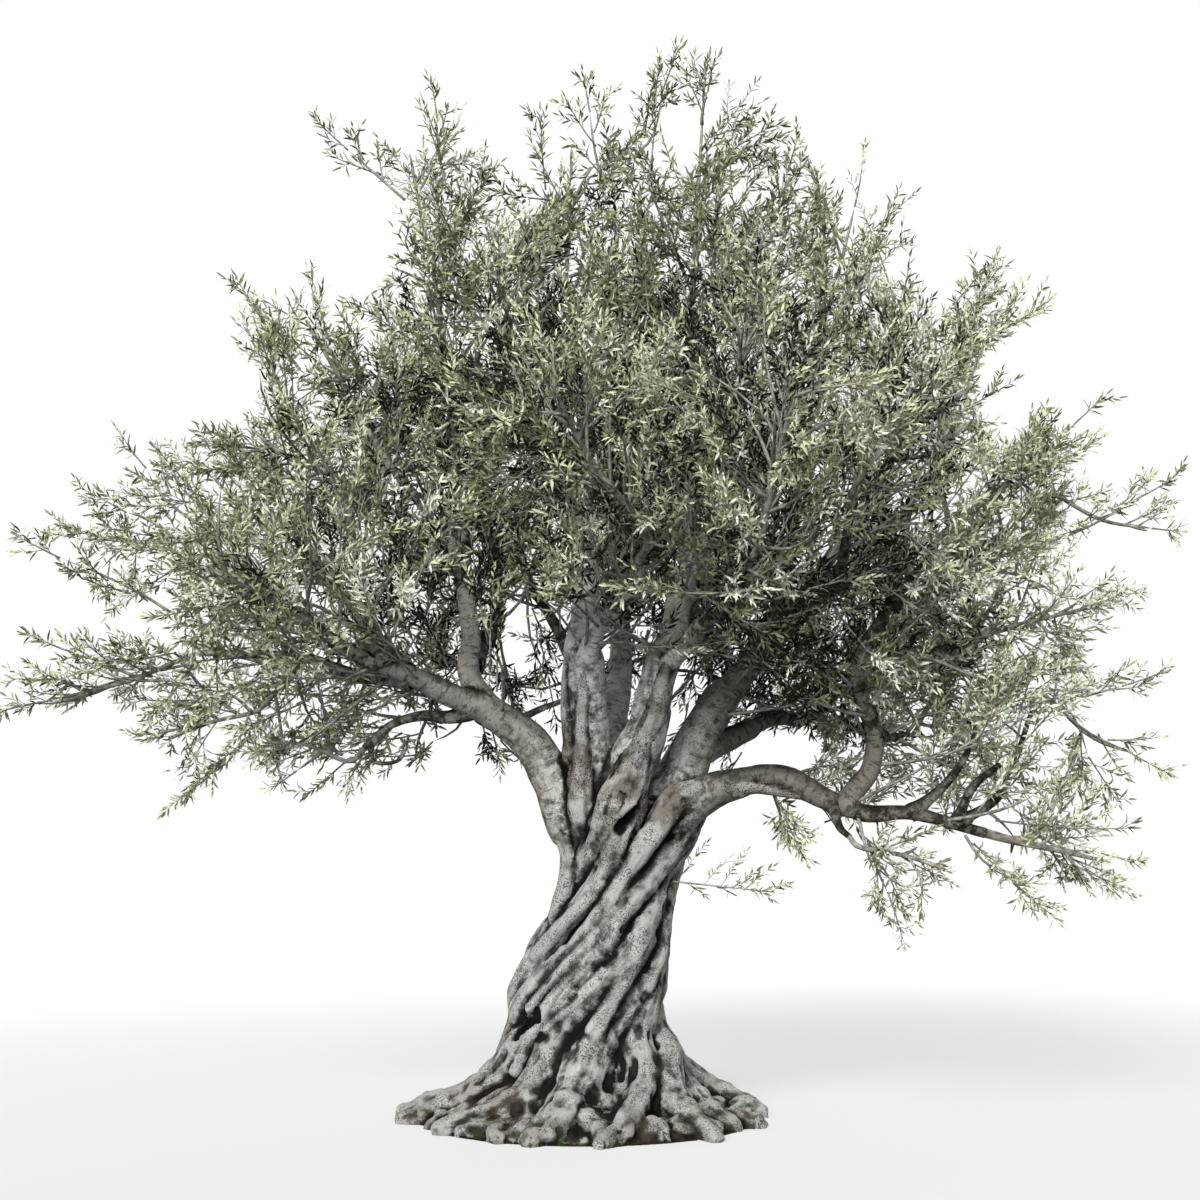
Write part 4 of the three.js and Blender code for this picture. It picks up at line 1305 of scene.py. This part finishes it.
def shoot_mesh(name, rows):
    """All fine shoots: three-sided, from foot over a middle to a point."""
    foot, middle, tip = (np.array([row[i] for row in rows]) for i in range(3))
    radius = np.array([row[3] for row in rows])[:, None]
    heading = unit(tip - foot)
    reference = np.where(np.abs(heading[:, 2:]) > 0.9, [1.0, 0, 0], [0, 0, 1.0])
    side = unit(np.cross(reference, heading))
    lift = np.cross(side, heading)
    corners, pattern = [], []
    for centre, scale in ((foot, 1), (middle, 0.75)):
        for i in range(3):
            angle = i * 2 * math.pi / 3
            outward = side * math.cos(angle) + lift * math.sin(angle)
            corners.append(centre + radius * scale * outward)
    for i in range(3):
        j = (i + 1) % 3
        pattern += [(i, j, j + 3), (i, j + 3, i + 3), (i + 3, j + 3, 6)]
    return pattern_mesh(name, [*corners, tip], pattern)


def thin_tube(points, radii, sides):
    """Corners and triangles of a thin tube through some points, ending in a point."""
    points = np.asarray(points, float)
    headings = unit(np.gradient(points, axis=0))
    side, lift = ring_frames(headings)
    angle = np.arange(sides) / sides * 2 * math.pi
    cosine, sine = np.cos(angle)[None, :, None], np.sin(angle)[None, :, None]
    ring = side[:, None] * cosine + lift[:, None] * sine
    corners = (points[:, None] + np.asarray(radii)[:, None, None] * ring)[:-1].reshape(-1, 3)
    corners = np.vstack([corners, points[-1]])
    faces = []
    rings = len(points) - 1
    for r in range(rings - 1):
        for i in range(sides):
            j = (i + 1) % sides
            a, b = r * sides + i, r * sides + j
            faces += [(a, b, b + sides), (a, b + sides, a + sides)]
    last = (rings - 1) * sides
    for i in range(sides):
        faces.append((last + i, last + (i + 1) % sides, rings * sides))
    return corners, np.array(faces)


def heart_depth(points):
    """0 at the middle of the crown's heart and 1 at its edge, which is fuller below the middle."""
    offset = np.abs((points - CROWN_HEART) / CROWN_HEART_SIZE)
    power = np.where(points[:, 2:] < CROWN_HEART[2], 3.0, 2.0)
    return (offset ** power).sum(axis=1)


def crown_floor(points):
    """How low the leaves hang: high over the fork and at the front, lower at the sides and back."""
    x, y = points[:, 0], points[:, 1]
    over_fork = smooth_step(0.68, 0.42, np.abs(x - 0.15))
    in_front = smooth_step(-0.35, -0.8, y) * smooth_step(1.3, 0.8, x)
    side = 0.34 * smooth_step(0.72, 0.95, x) + 0.1 * smooth_step(-0.8, -1.1, x)
    return 1.74 + 0.56 * np.maximum(over_fork, in_front) - side


def in_crown(points):
    """Whether each point is in the crown: in some mass's space, or in the heart between them."""
    points = np.atleast_2d(points)
    shallowest = np.min([mass.depth(points) for mass in masses[:-1]], axis=0)
    return (shallowest < 1) | ((heart_depth(points) < 1) & (points[:, 2] > crown_floor(points)))


def seen_places(points):
    """Where points fall on the plane Y = 0, as seen from the camera's place."""
    eye = np.array(camera.location)
    rays = points - eye
    crossing = eye + rays * (-eye[1] / rays[:, 1:2])
    return crossing[:, [0, 2]]


def bare_samples():
    """Points along the bare stretches, with the radius kept clear of leaves."""
    rows = []
    for name, (first, last) in BARE_STRETCHES.items():
        limb = limbs[name]
        share = limb.along / limb.along[-1]
        keep = (share >= first) & (share <= last)
        rows.append(np.column_stack([limb.points[keep], 0.7 * limb.radii[keep] + 0.02])[::2])
    return np.vstack(rows)


bare = bare_samples()
bare_seen = seen_places(bare[:, :3])


def is_open(points, share):
    """Whether leaves at the points would fill a sky gap or hide a bare stretch of limb."""
    seen = seen_places(points)
    for x, z, half_width, half_height, kept in SKY_GAPS:
        inside = ((seen[:, 0] - x) / half_width) ** 2 + ((seen[:, 1] - z) / half_height) ** 2 < 1
        if inside.any() and share >= kept:
            return True
    for place, point in zip(seen, points):
        near = np.hypot(*(bare_seen - place).T) < bare[:, 3]
        if (near & (bare[:, 1] > point[1])).any() and share > 0.12:
            return True
    return False


class Room:
    """Counts sprays in cells of space, so that the crown fills evenly."""

    def __init__(self):
        self.counts = {}

    def take(self, spray, most):
        """Whether there is room for a spray; if so it is counted."""
        foot, heading, _, length = spray
        middle = foot + heading * 0.6 * length
        key = tuple(np.floor(middle / SPRAY_ROOM).astype(int))
        if self.counts.get(key, 0) >= most:
            return False
        self.counts[key] = self.counts.get(key, 0) + 1
        return True


def sprays_along(twig, heading, across, marks, turn, size, rng):
    """Sprays at both sides of a twig, and at its end where the last mark is 1."""
    for number, mark in enumerate(marks):
        aside = 0 if mark == 1 else side_of(number) * (turn + 0.3 * rng.random())
        aim = unit(heading + across * math.tan(aside))
        scale, least, more = size
        length = scale * (least + more * rng.random())
        yield twig.point_at(mark), aim, squared(across, aim), length


def twigs_of_limb(curve, limb_girth, room, rng):
    """Side twigs with sprays along a bough or stem, where there is room in the crown."""
    grown = []
    count = int(curve.length / LIMB_TWIG_GAP)
    for i in range(count):
        place = (i + 0.2 + 0.6 * rng.random()) / count
        foot = curve.point_at(place)
        onward = curve.heading_at(place)
        outward = turned(square_to(onward), onward, rng.random() * 0.8 + i * GOLDEN_ANGLE)
        outward = unit(outward + (0, 0, 0.4 if foot[2] > 2.4 else -0.1))
        spread = 0.95 + 0.3 * (rng.random() - 0.5)
        heading = unit(onward * math.cos(spread) + outward * math.sin(spread))
        length = 0.25 + 0.5 * rng.random()
        if not in_crown(foot + heading * length * np.array([[0.45], [1.0]])).all():
            continue
        radius = girth_at(limb_girth, place)
        twig = StraightLine([foot + heading * radius * 0.5, foot + heading * length])
        across = turned(square_to(heading), heading, rng.random() * math.pi)
        marks, found = (0.35, 0.6, 0.85, 1), []
        for spray in sprays_along(twig, heading, across, marks, 0.6, (0.46, 0.75, 0.5), rng):
            start, aim, _, size = spray
            inside = in_crown(start + aim * size * np.array([[0.55], [1.0]])).all()
            if inside and room.take(spray, 1):
                found.append(spray)
        if found:
            grown.append((place, twig, found))
    return grown


# The sprig's side shoots: place along it, then how far they go out, sideways and up.
SPRIG_SHOOTS = [
    (0.04, 150, 60, 190), (0.12, 90, -70, -60), (0.3, 120, -50, 130), (0.36, 110, 80, -40),
    (0.46, 130, 40, 170), (0.55, 120, -90, 40), (0.62, 110, 70, 90), (0.7, 130, -40, 110),
    (0.78, 100, 60, -50), (0.86, 110, -50, 30), (0.94, 90, 40, 40)]


def grow_sprig(leaves, shoots, rng):
    """The small sprig on the trunk: one thin twig with its own few side shoots."""
    stem = masses[-1].stem
    for place, out, aside, up in SPRIG_SHOOTS:
        start = stem.point_at(place)
        reach = metres([out, aside, up])
        middle = start + 0.5 * reach + (0, 0, 0.008)
        tip = start + reach
        shoots.append((start, middle, tip, SPRIG_SHOOT_RADIUS))
        tone = ("leaves_sage", "leaves_olive")[int(2 * rng.random())]
        shoot = StraightLine([start, middle, tip])
        leaves[tone] += leaves_on(shoot, 0.15, NODE_SPACING, rng, SPRIG_LEAF_SIZE)
    end = StraightLine([stem.point_at(0.5), stem.point_at(1)])
    leaves["leaves_sage"] += leaves_on(end, 0.1, NODE_SPACING, rng, SPRIG_LEAF_SIZE)


def bent_tube(twig, foot_radius, sides, rng):
    """A thin tube along a straight twig, with a slight bend."""
    marks = np.linspace(0, 1, 5)[:, None]
    start, end = twig.point_at(0), twig.point_at(1)
    sway = 0.06 * twig.length * np.sin(marks * math.pi) * rng.normal(size=3)
    radii = np.linspace(foot_radius, TWIG_TIP_RADIUS, 5)
    return thin_tube(start + (end - start) * marks + sway, radii, sides)


def keep_sprays(sprays, room, most, rng):
    """The sprays that there is room for and that hide neither sky gaps nor bare limbs."""
    kept = []
    for spray in sprays:
        foot, heading, _, length = spray
        places = foot + heading * length * np.array([[0.4], [0.95]])
        if not is_open(places, rng.random()) and room.take(spray, most):
            kept.append(spray)
    return kept


def outer_sprays(twig, rng):
    """Sprays at both sides and at the end of a twig that reaches out of the crown."""
    heading = twig.heading_at(0.5)
    across = turned(square_to(heading), heading, 0.5 * rng.normal())
    marks = (0.2, 0.38, 0.56, 0.74, 1)
    return list(sprays_along(twig, heading, across, marks, 0.5, (1, 0.2, 0.1), rng))


def grow_foliage():
    """All leaves by tone, all fine shoots, and all twigs as tubes."""
    rng = np.random.default_rng(FOLIAGE_SEED)
    leaves = {name: [] for name in LEAF_TONES}
    shoots, twig_parts = [], []
    room = Room()
    grow_sprig(leaves, shoots, rng)
    sprig = masses[-1].curve.point_at(np.linspace(0, 1, 14))
    twig_parts.append(thin_tube(sprig, np.linspace(*SPRIG_RADII, 14), 5))
    growing = [(curves[name], girth, []) for name, (_, girth, _) in BOUGHS.items()]
    growing += [(mass.curve, mass.girth, foliage_of(mass, i)) for i, mass in enumerate(masses[:-1])]
    for curve, limb_girth, own in growing:
        grown = [(place, twig, keep_sprays(sprays, room, 2, rng)) for place, twig, sprays in own]
        for place, twig, sprays in twigs_of_limb(curve, limb_girth, room, rng):
            grown.append((place, twig, keep_sprays(sprays, Room(), 9, rng)))
        last = 0
        for place, twig, sprays in grown:
            if twig and is_open(twig.point_at(np.array([0.35, 0.65, 0.95])), 0.35):
                continue
            dressed = [dress_spray(spray, leaves, shoots, twig_parts, rng) for spray in sprays]
            if not any(dressed):
                continue
            last = max(last, place)
            if twig:
                twig_parts.append(bent_tube(twig, TWIG_RADIUS, 4, rng))
        if own and last:
            marks = np.linspace(0, min(last + 0.04, 1), 14)
            twig_parts.append(thin_tube(curve.point_at(marks), girth_at(limb_girth, marks), 6))
    for ends in OUTER_TWIGS:
        twig = StraightLine(metres(ends))
        twig_parts.append(bent_tube(twig, OUTER_TWIG_RADIUS, 4, rng))
        for spray in outer_sprays(twig, rng):
            dress_spray(spray, leaves, shoots, twig_parts, rng)
    return leaves, shoots, twig_parts


def dress_spray(spray, leaves, shoots, twig_parts, rng):
    """Adds a spray's axis, its side shoots and all their leaves, unless most would fill a gap."""
    axis, rows = spray_shoots(spray, rng)
    tone = choose_tone(spray, rng)
    kept = [row for row in rows if not is_open(np.array([row[1], row[2]]), rng.random())]
    if len(kept) < 0.4 * len(rows):
        return False
    rows = kept
    size = 1 - 0.12 * smooth_step(-0.5, -1.5, spray[0][1])
    twig_parts.append(thin_tube(axis, np.linspace(*SPRAY_RADII, 6), 3))
    leaves[tone] += leaves_on(StraightLine(axis), 0.45, 1.3 * NODE_SPACING, rng, size)
    shoots += rows
    for start, middle, tip, _ in rows:
        mixed = tone if rng.random() < 0.55 else choose_tone(spray, rng)
        shoot = StraightLine([start, middle, tip])
        leaves[mixed] += leaves_on(shoot, 0.12, NODE_SPACING, rng, size)
    return True


# Each tone of leaf: its colour, and how common it is deep inside the crown and at its surface. The
# near-black tone is painted shade.
LEAF_TONES = {
    "leaves_sage": ((0.430, 0.440, 0.280), 0.19, 0.39),
    "leaves_olive": ((0.185, 0.193, 0.106), 0.27, 0.30),
    "leaves_dark": ((0.010, 0.012, 0.006), 0.45, 0.015),
    "leaves_silver": ((0.550, 0.580, 0.460), 0.08, 0.17),
    "leaves_straw": ((0.510, 0.515, 0.350), 0.01, 0.12),
}


def choose_tone(spray, rng):
    """A tone for a spray, dealt to paint light and shade: near black deep inside the crown, paler
    at its surface and low at its sides.
    """
    middle = (spray[0] + spray[1] * 0.5 * spray[3])[None]
    deepest = min(mass.depth(middle)[0] for mass in masses)
    out = heart_depth(middle)[0]
    surface = max(
        smooth_step(0.1, 0.75, min(deepest, 1)) * smooth_step(0.15, 0.75, out),
        smooth_step(0.75, 1.2, out))
    weights = np.array([
        inside + (outside - inside) * surface for _, inside, outside in LEAF_TONES.values()])
    olive, dark, pale = 1, 2, slice(3, None)  # Places in LEAF_TONES.
    x, _, z = middle[0]
    rim = (((middle[0] - CROWN_HEART) / CROWN_HEART_SIZE)[[0, 2]] ** 2).sum()
    beside = smooth_step(0.6, 1.2, abs(x - 0.2)) * smooth_step(4.2, 3.6, z)
    # Painted light and shade: more olive, darker leaves at the top and far left, fewer at the
    # right.
    weights[olive] *= (
        1 + 2.2 * smooth_step(3.5, 4.5, z) + smooth_step(-1.0, -1.8, x)
        - 0.45 * smooth_step(0.8, 1.5, x))
    # Painted shade: near-black leaves kept off the rim and fewer low at the sides; painted light:
    # paler leaves low at the sides, fewer at the top.
    weights[dark] *= (1.35 - 1.35 * smooth_step(0.25, 0.8, rim)) * (1 - 0.55 * beside)
    weights[pale] *= (1 - 0.5 * smooth_step(3.7, 4.7, z)) * (1 + 0.5 * beside)
    drawn = np.searchsorted(np.cumsum(weights) / weights.sum(), rng.random())
    return list(LEAF_TONES)[drawn]


# ---- materials -----------------------------------------------------------------------------------


class Nodes:
    """A new material's node tree, with short ways to add to it."""

    def __init__(self, name, roughness, specular=0.3):
        self.material = bpy.data.materials.new(name)
        self.material.use_nodes = True
        self.tree = self.material.node_tree
        self.shader = self.tree.nodes["Principled BSDF"]
        self.shader.inputs["Roughness"].default_value = roughness
        self.shader.inputs["Specular IOR Level"].default_value = specular

    def put(self, node, socket, source):
        """Links a source to a node's socket, or gives the socket a plain value."""
        if hasattr(source, "is_linked"):
            self.tree.links.new(source, node.inputs[socket])
        else:
            node.inputs[socket].default_value = source

    def add(self, kind, links=(), **values):
        node = self.tree.nodes.new(kind)
        for key, value in values.items():
            setattr(node, key, value)
        for socket, source in links:
            self.put(node, socket, source)
        return node

    def place(self):
        return self.add("ShaderNodeTexCoord").outputs["Object"]

    def attribute(self, name, output):
        return self.add("ShaderNodeAttribute", attribute_name=name).outputs[output]

    def part(self, vector, axis):
        return self.add("ShaderNodeSeparateXYZ", [("Vector", vector)]).outputs[axis]

    def scaled(self, vector, scale):
        node = self.add("ShaderNodeMapping", [("Vector", vector), ("Scale", scale)])
        return node.outputs["Vector"]

    def noise(self, vector, scale, detail=5, roughness=0.6):
        node = self.add("ShaderNodeTexNoise", [
            ("Vector", vector), ("Scale", scale), ("Detail", detail), ("Roughness", roughness)])
        return node.outputs["Fac"]

    def spread(self, value, low, high, most=1.0):
        """A value stretched so that low becomes 0 and high becomes the most."""
        node = self.add("ShaderNodeMapRange", [
            ("Value", value), ("From Min", low), ("From Max", high), ("To Max", most)])
        return node.outputs[0]

    def ramp(self, value, *stops):
        node = self.add("ShaderNodeValToRGB", [("Fac", value)])
        elements = node.color_ramp.elements
        while len(elements) < len(stops):
            elements.new(0.5)
        for element, (position, colour) in zip(elements, stops):
            element.position = position
            element.color = (*(colour if isinstance(colour, tuple) else [colour] * 3), 1)
        return node.outputs["Color"]

    def mix(self, share, first, second, blend="MIX"):
        node = self.add("ShaderNodeMix", data_type="RGBA", blend_type=blend)
        for socket, source in ((0, share), (6, first), (7, second)):
            self.put(node, socket, (*source, 1) if isinstance(source, tuple) else source)
        return node.outputs[2]

    def math(self, operation, first, second=0.0):
        node = self.add("ShaderNodeMath", [(0, first), (1, second)], operation=operation)
        return node.outputs[0]

    def times(self, first, second):
        return self.math("MULTIPLY", first, second)

    def finish(self, colour, height=None, distance=0.01, strength=0.7):
        """Gives the shader its colour and, from a height, its bumps."""
        self.put(self.shader, "Base Color", colour)
        if height is not None:
            bump = self.add("ShaderNodeBump", [
                ("Height", height), ("Distance", distance), ("Strength", strength)])
            self.put(self.shader, "Normal", bump.outputs["Normal"])
        return self.material


# What the bark's own tone is mixed with, and the painted highlight and painted shade laid over it.
BARK = {
    "blotch": (0.045, 0.039, 0.033), "pale": (0.72, 0.71, 0.68), "fibre": (0.085, 0.076, 0.066),
    "painted_crest_highlight": (0.72, 0.705, 0.67), "fleck": (0.070, 0.064, 0.056), "painted_fold_shade": (0.016, 0.014, 0.012),
    "wrinkle": (0.085, 0.078, 0.068), "dirt": (0.060, 0.055, 0.045),
    "outer": (0.38, 0.365, 0.33), "right": (0.56, 0.54, 0.50), "aged": (0.38, 0.34, 0.29),
    "stain": (0.150, 0.112, 0.082), "moss": (0.045, 0.075, 0.014)}


def bark_material(name, old):
    """Grey olive bark, flecked and blotched: crests pale with painted highlight, folds near black
    with painted shade.
    """
    nodes = Nodes(name, 0.92, 0.05)
    place = nodes.place()
    grain = nodes.attribute("grain", "Vector")
    cavity = nodes.attribute("cavity", "Fac")
    blotch = nodes.noise(place, 19, 5, 0.65)
    fleck = nodes.noise(place, 125, 3, 0.65)
    fibre = nodes.noise(nodes.scaled(grain, (1, 1, 0.22)), 75, 5, 0.7)
    wrinkle = nodes.noise(nodes.scaled(grain, (0.35, 0.35, 1)), 45, 4, 0.6)
    tones = (0.085, 0.25, 0.56) if old else (0.13, 0.33, 0.60)
    pale_stops = ((0.35, 0.8), (0.45, 0.0)) if old else ((0.42, 0.9), (0.52, 0.0))
    patch_stops = ((0.40, 0.12), (0.56, 0.95)) if old else ((0.46, 0.0), (0.60, 0.55))
    stops = [(at, (tone, 0.965 * tone, 0.89 * tone)) for at, tone in zip((0.38, 0.5, 0.62), tones)]
    patches = nodes.ramp(nodes.noise(place, 9, 3), *patch_stops)
    colour = nodes.ramp(nodes.noise(place, 6, 4), *stops)
    # The crest and fold marks follow the cavity: painted highlight on the ridges, painted shade in
    # the folds.
    for share, title in (
            (nodes.ramp(blotch, (0.50, 0.0), (0.58, 0.88)), "blotch"),
            (nodes.ramp(blotch, *pale_stops), "pale"),
            (nodes.ramp(fibre, (0.50, 0.0), (0.66, 0.65)), "fibre"),
            (nodes.spread(cavity, -0.03, -0.62, 0.8), "painted_crest_highlight"),
            (nodes.times(nodes.ramp(fleck, (0.51, 0.0), (0.575, 1.0)), patches), "fleck"),
            (nodes.spread(cavity, 0.02, 0.62), "painted_fold_shade")):
        colour = nodes.mix(share, colour, BARK[title])
    if old:
        colour = trunk_marks(nodes, place, colour)
    else:
        lines = nodes.ramp(wrinkle, (0.52, 0.0), (0.62, 0.7))
        colour = bough_marks(nodes, place, nodes.mix(lines, colour, BARK["wrinkle"]))
    grit = nodes.noise(place, 190, 3, 0.7)
    height = nodes.times(fibre, 0.5)
    for layer, strength in ((fleck, -0.4), (wrinkle, 0.25 if old else 0.5), (grit, 0.35)):
        height = nodes.math("ADD", height, nodes.times(layer, strength))
    return nodes.finish(colour, height, 0.045 if old else 0.02, 1.0)


def bough_marks(nodes, place, colour):
    """Dirt on the upper sides of the limbs, and painted shade on those beside the trunk, more on
    the right.
    """
    normal = nodes.add("ShaderNodeNewGeometry").outputs["Normal"]
    upper = nodes.spread(nodes.part(normal, "Z"), 0.15, 0.8)
    dirt = nodes.ramp(nodes.noise(place, 7, 5, 0.65), (0.36, 0.25), (0.56, 0.92))
    colour = nodes.mix(nodes.times(upper, dirt), colour, BARK["dirt"])
    # Painted shade: limbs away from the trunk's middle are darkened, those to the right darker
    # still.
    across = nodes.part(place, "X")
    aside = nodes.math("ABSOLUTE", nodes.math("SUBTRACT", across, 0.2))
    colour = nodes.mix(nodes.spread(aside, 0.22, 0.5, 0.75), colour, BARK["outer"], "MULTIPLY")
    return nodes.mix(nodes.spread(across, 0.45, 0.75, 0.9), colour, BARK["right"], "MULTIPLY")


def trunk_marks(nodes, place, colour):
    """Aged wood in patches at the fork, and stains and moss near the ground."""
    height = nodes.part(place, "Z")
    for title, low, high, grains, stops, blend in (
            ("aged", 1.2, 1.5, (5.5, 4), ((0.45, 0.0), (0.56, 0.85)), "MULTIPLY"),
            ("stain", 0.45, 0.02, (8, 4), ((0.46, 0.0), (0.62, 0.5)), "MIX"),
            ("moss", 0.13, 0.0, (11, 6, 0.7), ((0.54, 0.0), (0.60, 0.9)), "MIX")):
        patches = nodes.ramp(nodes.noise(place, *grains), *stops)
        share = nodes.times(nodes.spread(height, low, high), patches)
        colour = nodes.mix(share, colour, BARK[title], blend)
    return colour


def leaf_material(name, colour):
    """Small leathery leaves, with a little change of tone from leaf to leaf."""
    nodes = Nodes(name, 0.6, 0.1)
    tone = nodes.noise(nodes.place(), 42, 2, 0.5)
    darkest, darker, paler = (
        tuple(min(share * part, 1) for part in colour) for share in (0.25, 0.85, 1.35))
    return nodes.finish(
        nodes.ramp(tone, (0.36, darkest), (0.45, darker), (0.53, colour), (0.64, paler)))


def twig_material(name):
    """Grey-brown bark for the fine wood."""
    nodes = Nodes(name, 0.85, 0.05)
    place = nodes.place()
    shade = nodes.ramp(
        nodes.noise(place, 22, 4), (0.35, (0.10, 0.092, 0.078)), (0.5, (0.21, 0.20, 0.172)),
        (0.65, (0.35, 0.335, 0.30)))
    return nodes.finish(shade, nodes.noise(place, 90, 3), 0.002, 0.6)


# ---- the pieces ----------------------------------------------------------------------------------


def dress(piece, material, nodes):
    """Gives a piece its material and body, and hides the nodes that it replaces."""
    piece.data.materials.append(material)
    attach(piece, "root")
    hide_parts(*nodes)


bough_nodes = [f"bough_{name}" for name in BOUGHS]
foliage_nodes = [f"foliage_{mass.name}" for mass in masses]

points, faces, in_trunk, cavity, grain = bark_skin()
attributes = [("cavity", cavity), ("grain", grain)]
face_in_trunk = in_trunk[faces].sum(axis=1) >= 2
trunk_bark = bark_material("old_bark", True)
bough_bark = bark_material("young_bark", False)
trunk_piece = mesh_object("trunk_bark", *part_of(points, faces, attributes, face_in_trunk))
dress(trunk_piece, trunk_bark, ["trunk"])
bough_piece = mesh_object("thick_boughs", *part_of(points, faces, attributes, ~face_in_trunk))
dress(bough_piece, bough_bark, bough_nodes)

points, faces, grain, cavity = thin_boughs()
thin_piece = mesh_object("thin_boughs", points, faces, [("cavity", cavity), ("grain", grain)])
dress(thin_piece, bough_bark, bough_nodes)

leaves, shoots, twig_parts = grow_foliage()
twig_piece = mesh_object("twigs", *collect(twig_parts))
dress(twig_piece, twig_material("twig_bark"), foliage_nodes)
shoot_piece = shoot_mesh("shoots", shoots)
dress(shoot_piece, twig_material("shoot_bark"), foliage_nodes)
for name, rows in leaves.items():
    piece = leaf_mesh(name, rows)
    dress(piece, leaf_material(name, LEAF_TONES[name][0]), foliage_nodes)

# ---- floor and light -----------------------------------------------------------------------------


def stage_piece(name, points, faces, diffuse, glow, painted_shade_glow=None):
    """A piece of the studio that the camera sees and that lights nothing; given a glow for near the
    tree, it glows less there, a painted shade.
    """
    piece = mesh_object(name, np.array(points, float), np.array(faces), smooth=False)
    nodes = Nodes(name, 1.0, 0.0)
    nodes.put(nodes.shader, "Base Color", (diffuse, diffuse, diffuse, 1))
    nodes.put(nodes.shader, "Emission Color", (1, 1, 1, 1))
    nodes.put(nodes.shader, "Emission Strength", glow)
    if painted_shade_glow:
        # Painted shade: the floor glows less near the tree and reaches its full glow further off.
        out = nodes.add("ShaderNodeVectorMath", [(0, nodes.place())], operation="LENGTH")
        level = nodes.add("ShaderNodeMapRange", [
            ("Value", out.outputs["Value"]), ("From Min", GLOW_STARTS), ("From Max", GLOW_ENDS),
            ("To Min", painted_shade_glow), ("To Max", glow)], interpolation_type="SMOOTHSTEP")
        nodes.put(nodes.shader, "Emission Strength", level.outputs[0])
    piece.data.materials.append(nodes.material)
    piece.visible_diffuse = False
    piece.visible_glossy = False
    piece.visible_shadow = False
    return piece


sides = ((-1, -1), (1, -1), (1, 1), (-1, 1))
floor = [(x * FLOOR_REACH, y * FLOOR_REACH, FLOOR_HEIGHT) for x, y in sides]
stage_piece("floor", floor, [(0, 1, 2, 3)], FLOOR_DIFFUSE, FLOOR_GLOW, FLOOR_PAINTED_SHADE_GLOW)
wall = [(x * WALL_REACH, y * WALL_REACH, z) for z in (-WALL_HEIGHT, WALL_HEIGHT) for x, y in sides]
wall_faces = [(0, 1, 5, 4), (1, 2, 6, 5), (2, 3, 7, 6), (3, 0, 4, 7), (4, 5, 6, 7), (0, 1, 2, 3)]
stage_piece("backdrop", wall, wall_faces, 0.0, 1.0)


def soft_dome(above, below):
    """A studio dome that is bright overhead and dim towards the floor."""
    world = bpy.data.worlds.new("studio")
    world.use_nodes = True
    tree = world.node_tree
    background = tree.nodes["Background"]
    background.inputs["Color"].default_value = (0.98, 0.99, 1, 1)
    place = tree.nodes.new("ShaderNodeTexCoord")
    split = tree.nodes.new("ShaderNodeSeparateXYZ")
    level = tree.nodes.new("ShaderNodeMapRange")
    tree.links.new(place.outputs["Generated"], split.inputs[0])
    tree.links.new(split.outputs["Z"], level.inputs["Value"])
    for socket, value in (
            ("From Min", -0.5), ("From Max", 0.6), ("To Min", below), ("To Max", above)):
        level.inputs[socket].default_value = value
    tree.links.new(level.outputs[0], background.inputs["Strength"])
    bpy.context.scene.world = world


soft_dome(LIGHT_ABOVE, LIGHT_BELOW)
for name, (strength, width, turn) in LIGHTS.items():
    light = bpy.data.objects.new(name, bpy.data.lights.new(name, "SUN"))
    light.data.energy = strength
    light.data.angle = math.radians(width)
    light.rotation_euler = tuple(math.radians(angle) for angle in turn)
    bpy.context.scene.collection.objects.link(light)
bpy.context.scene.view_settings.view_transform = "Standard"
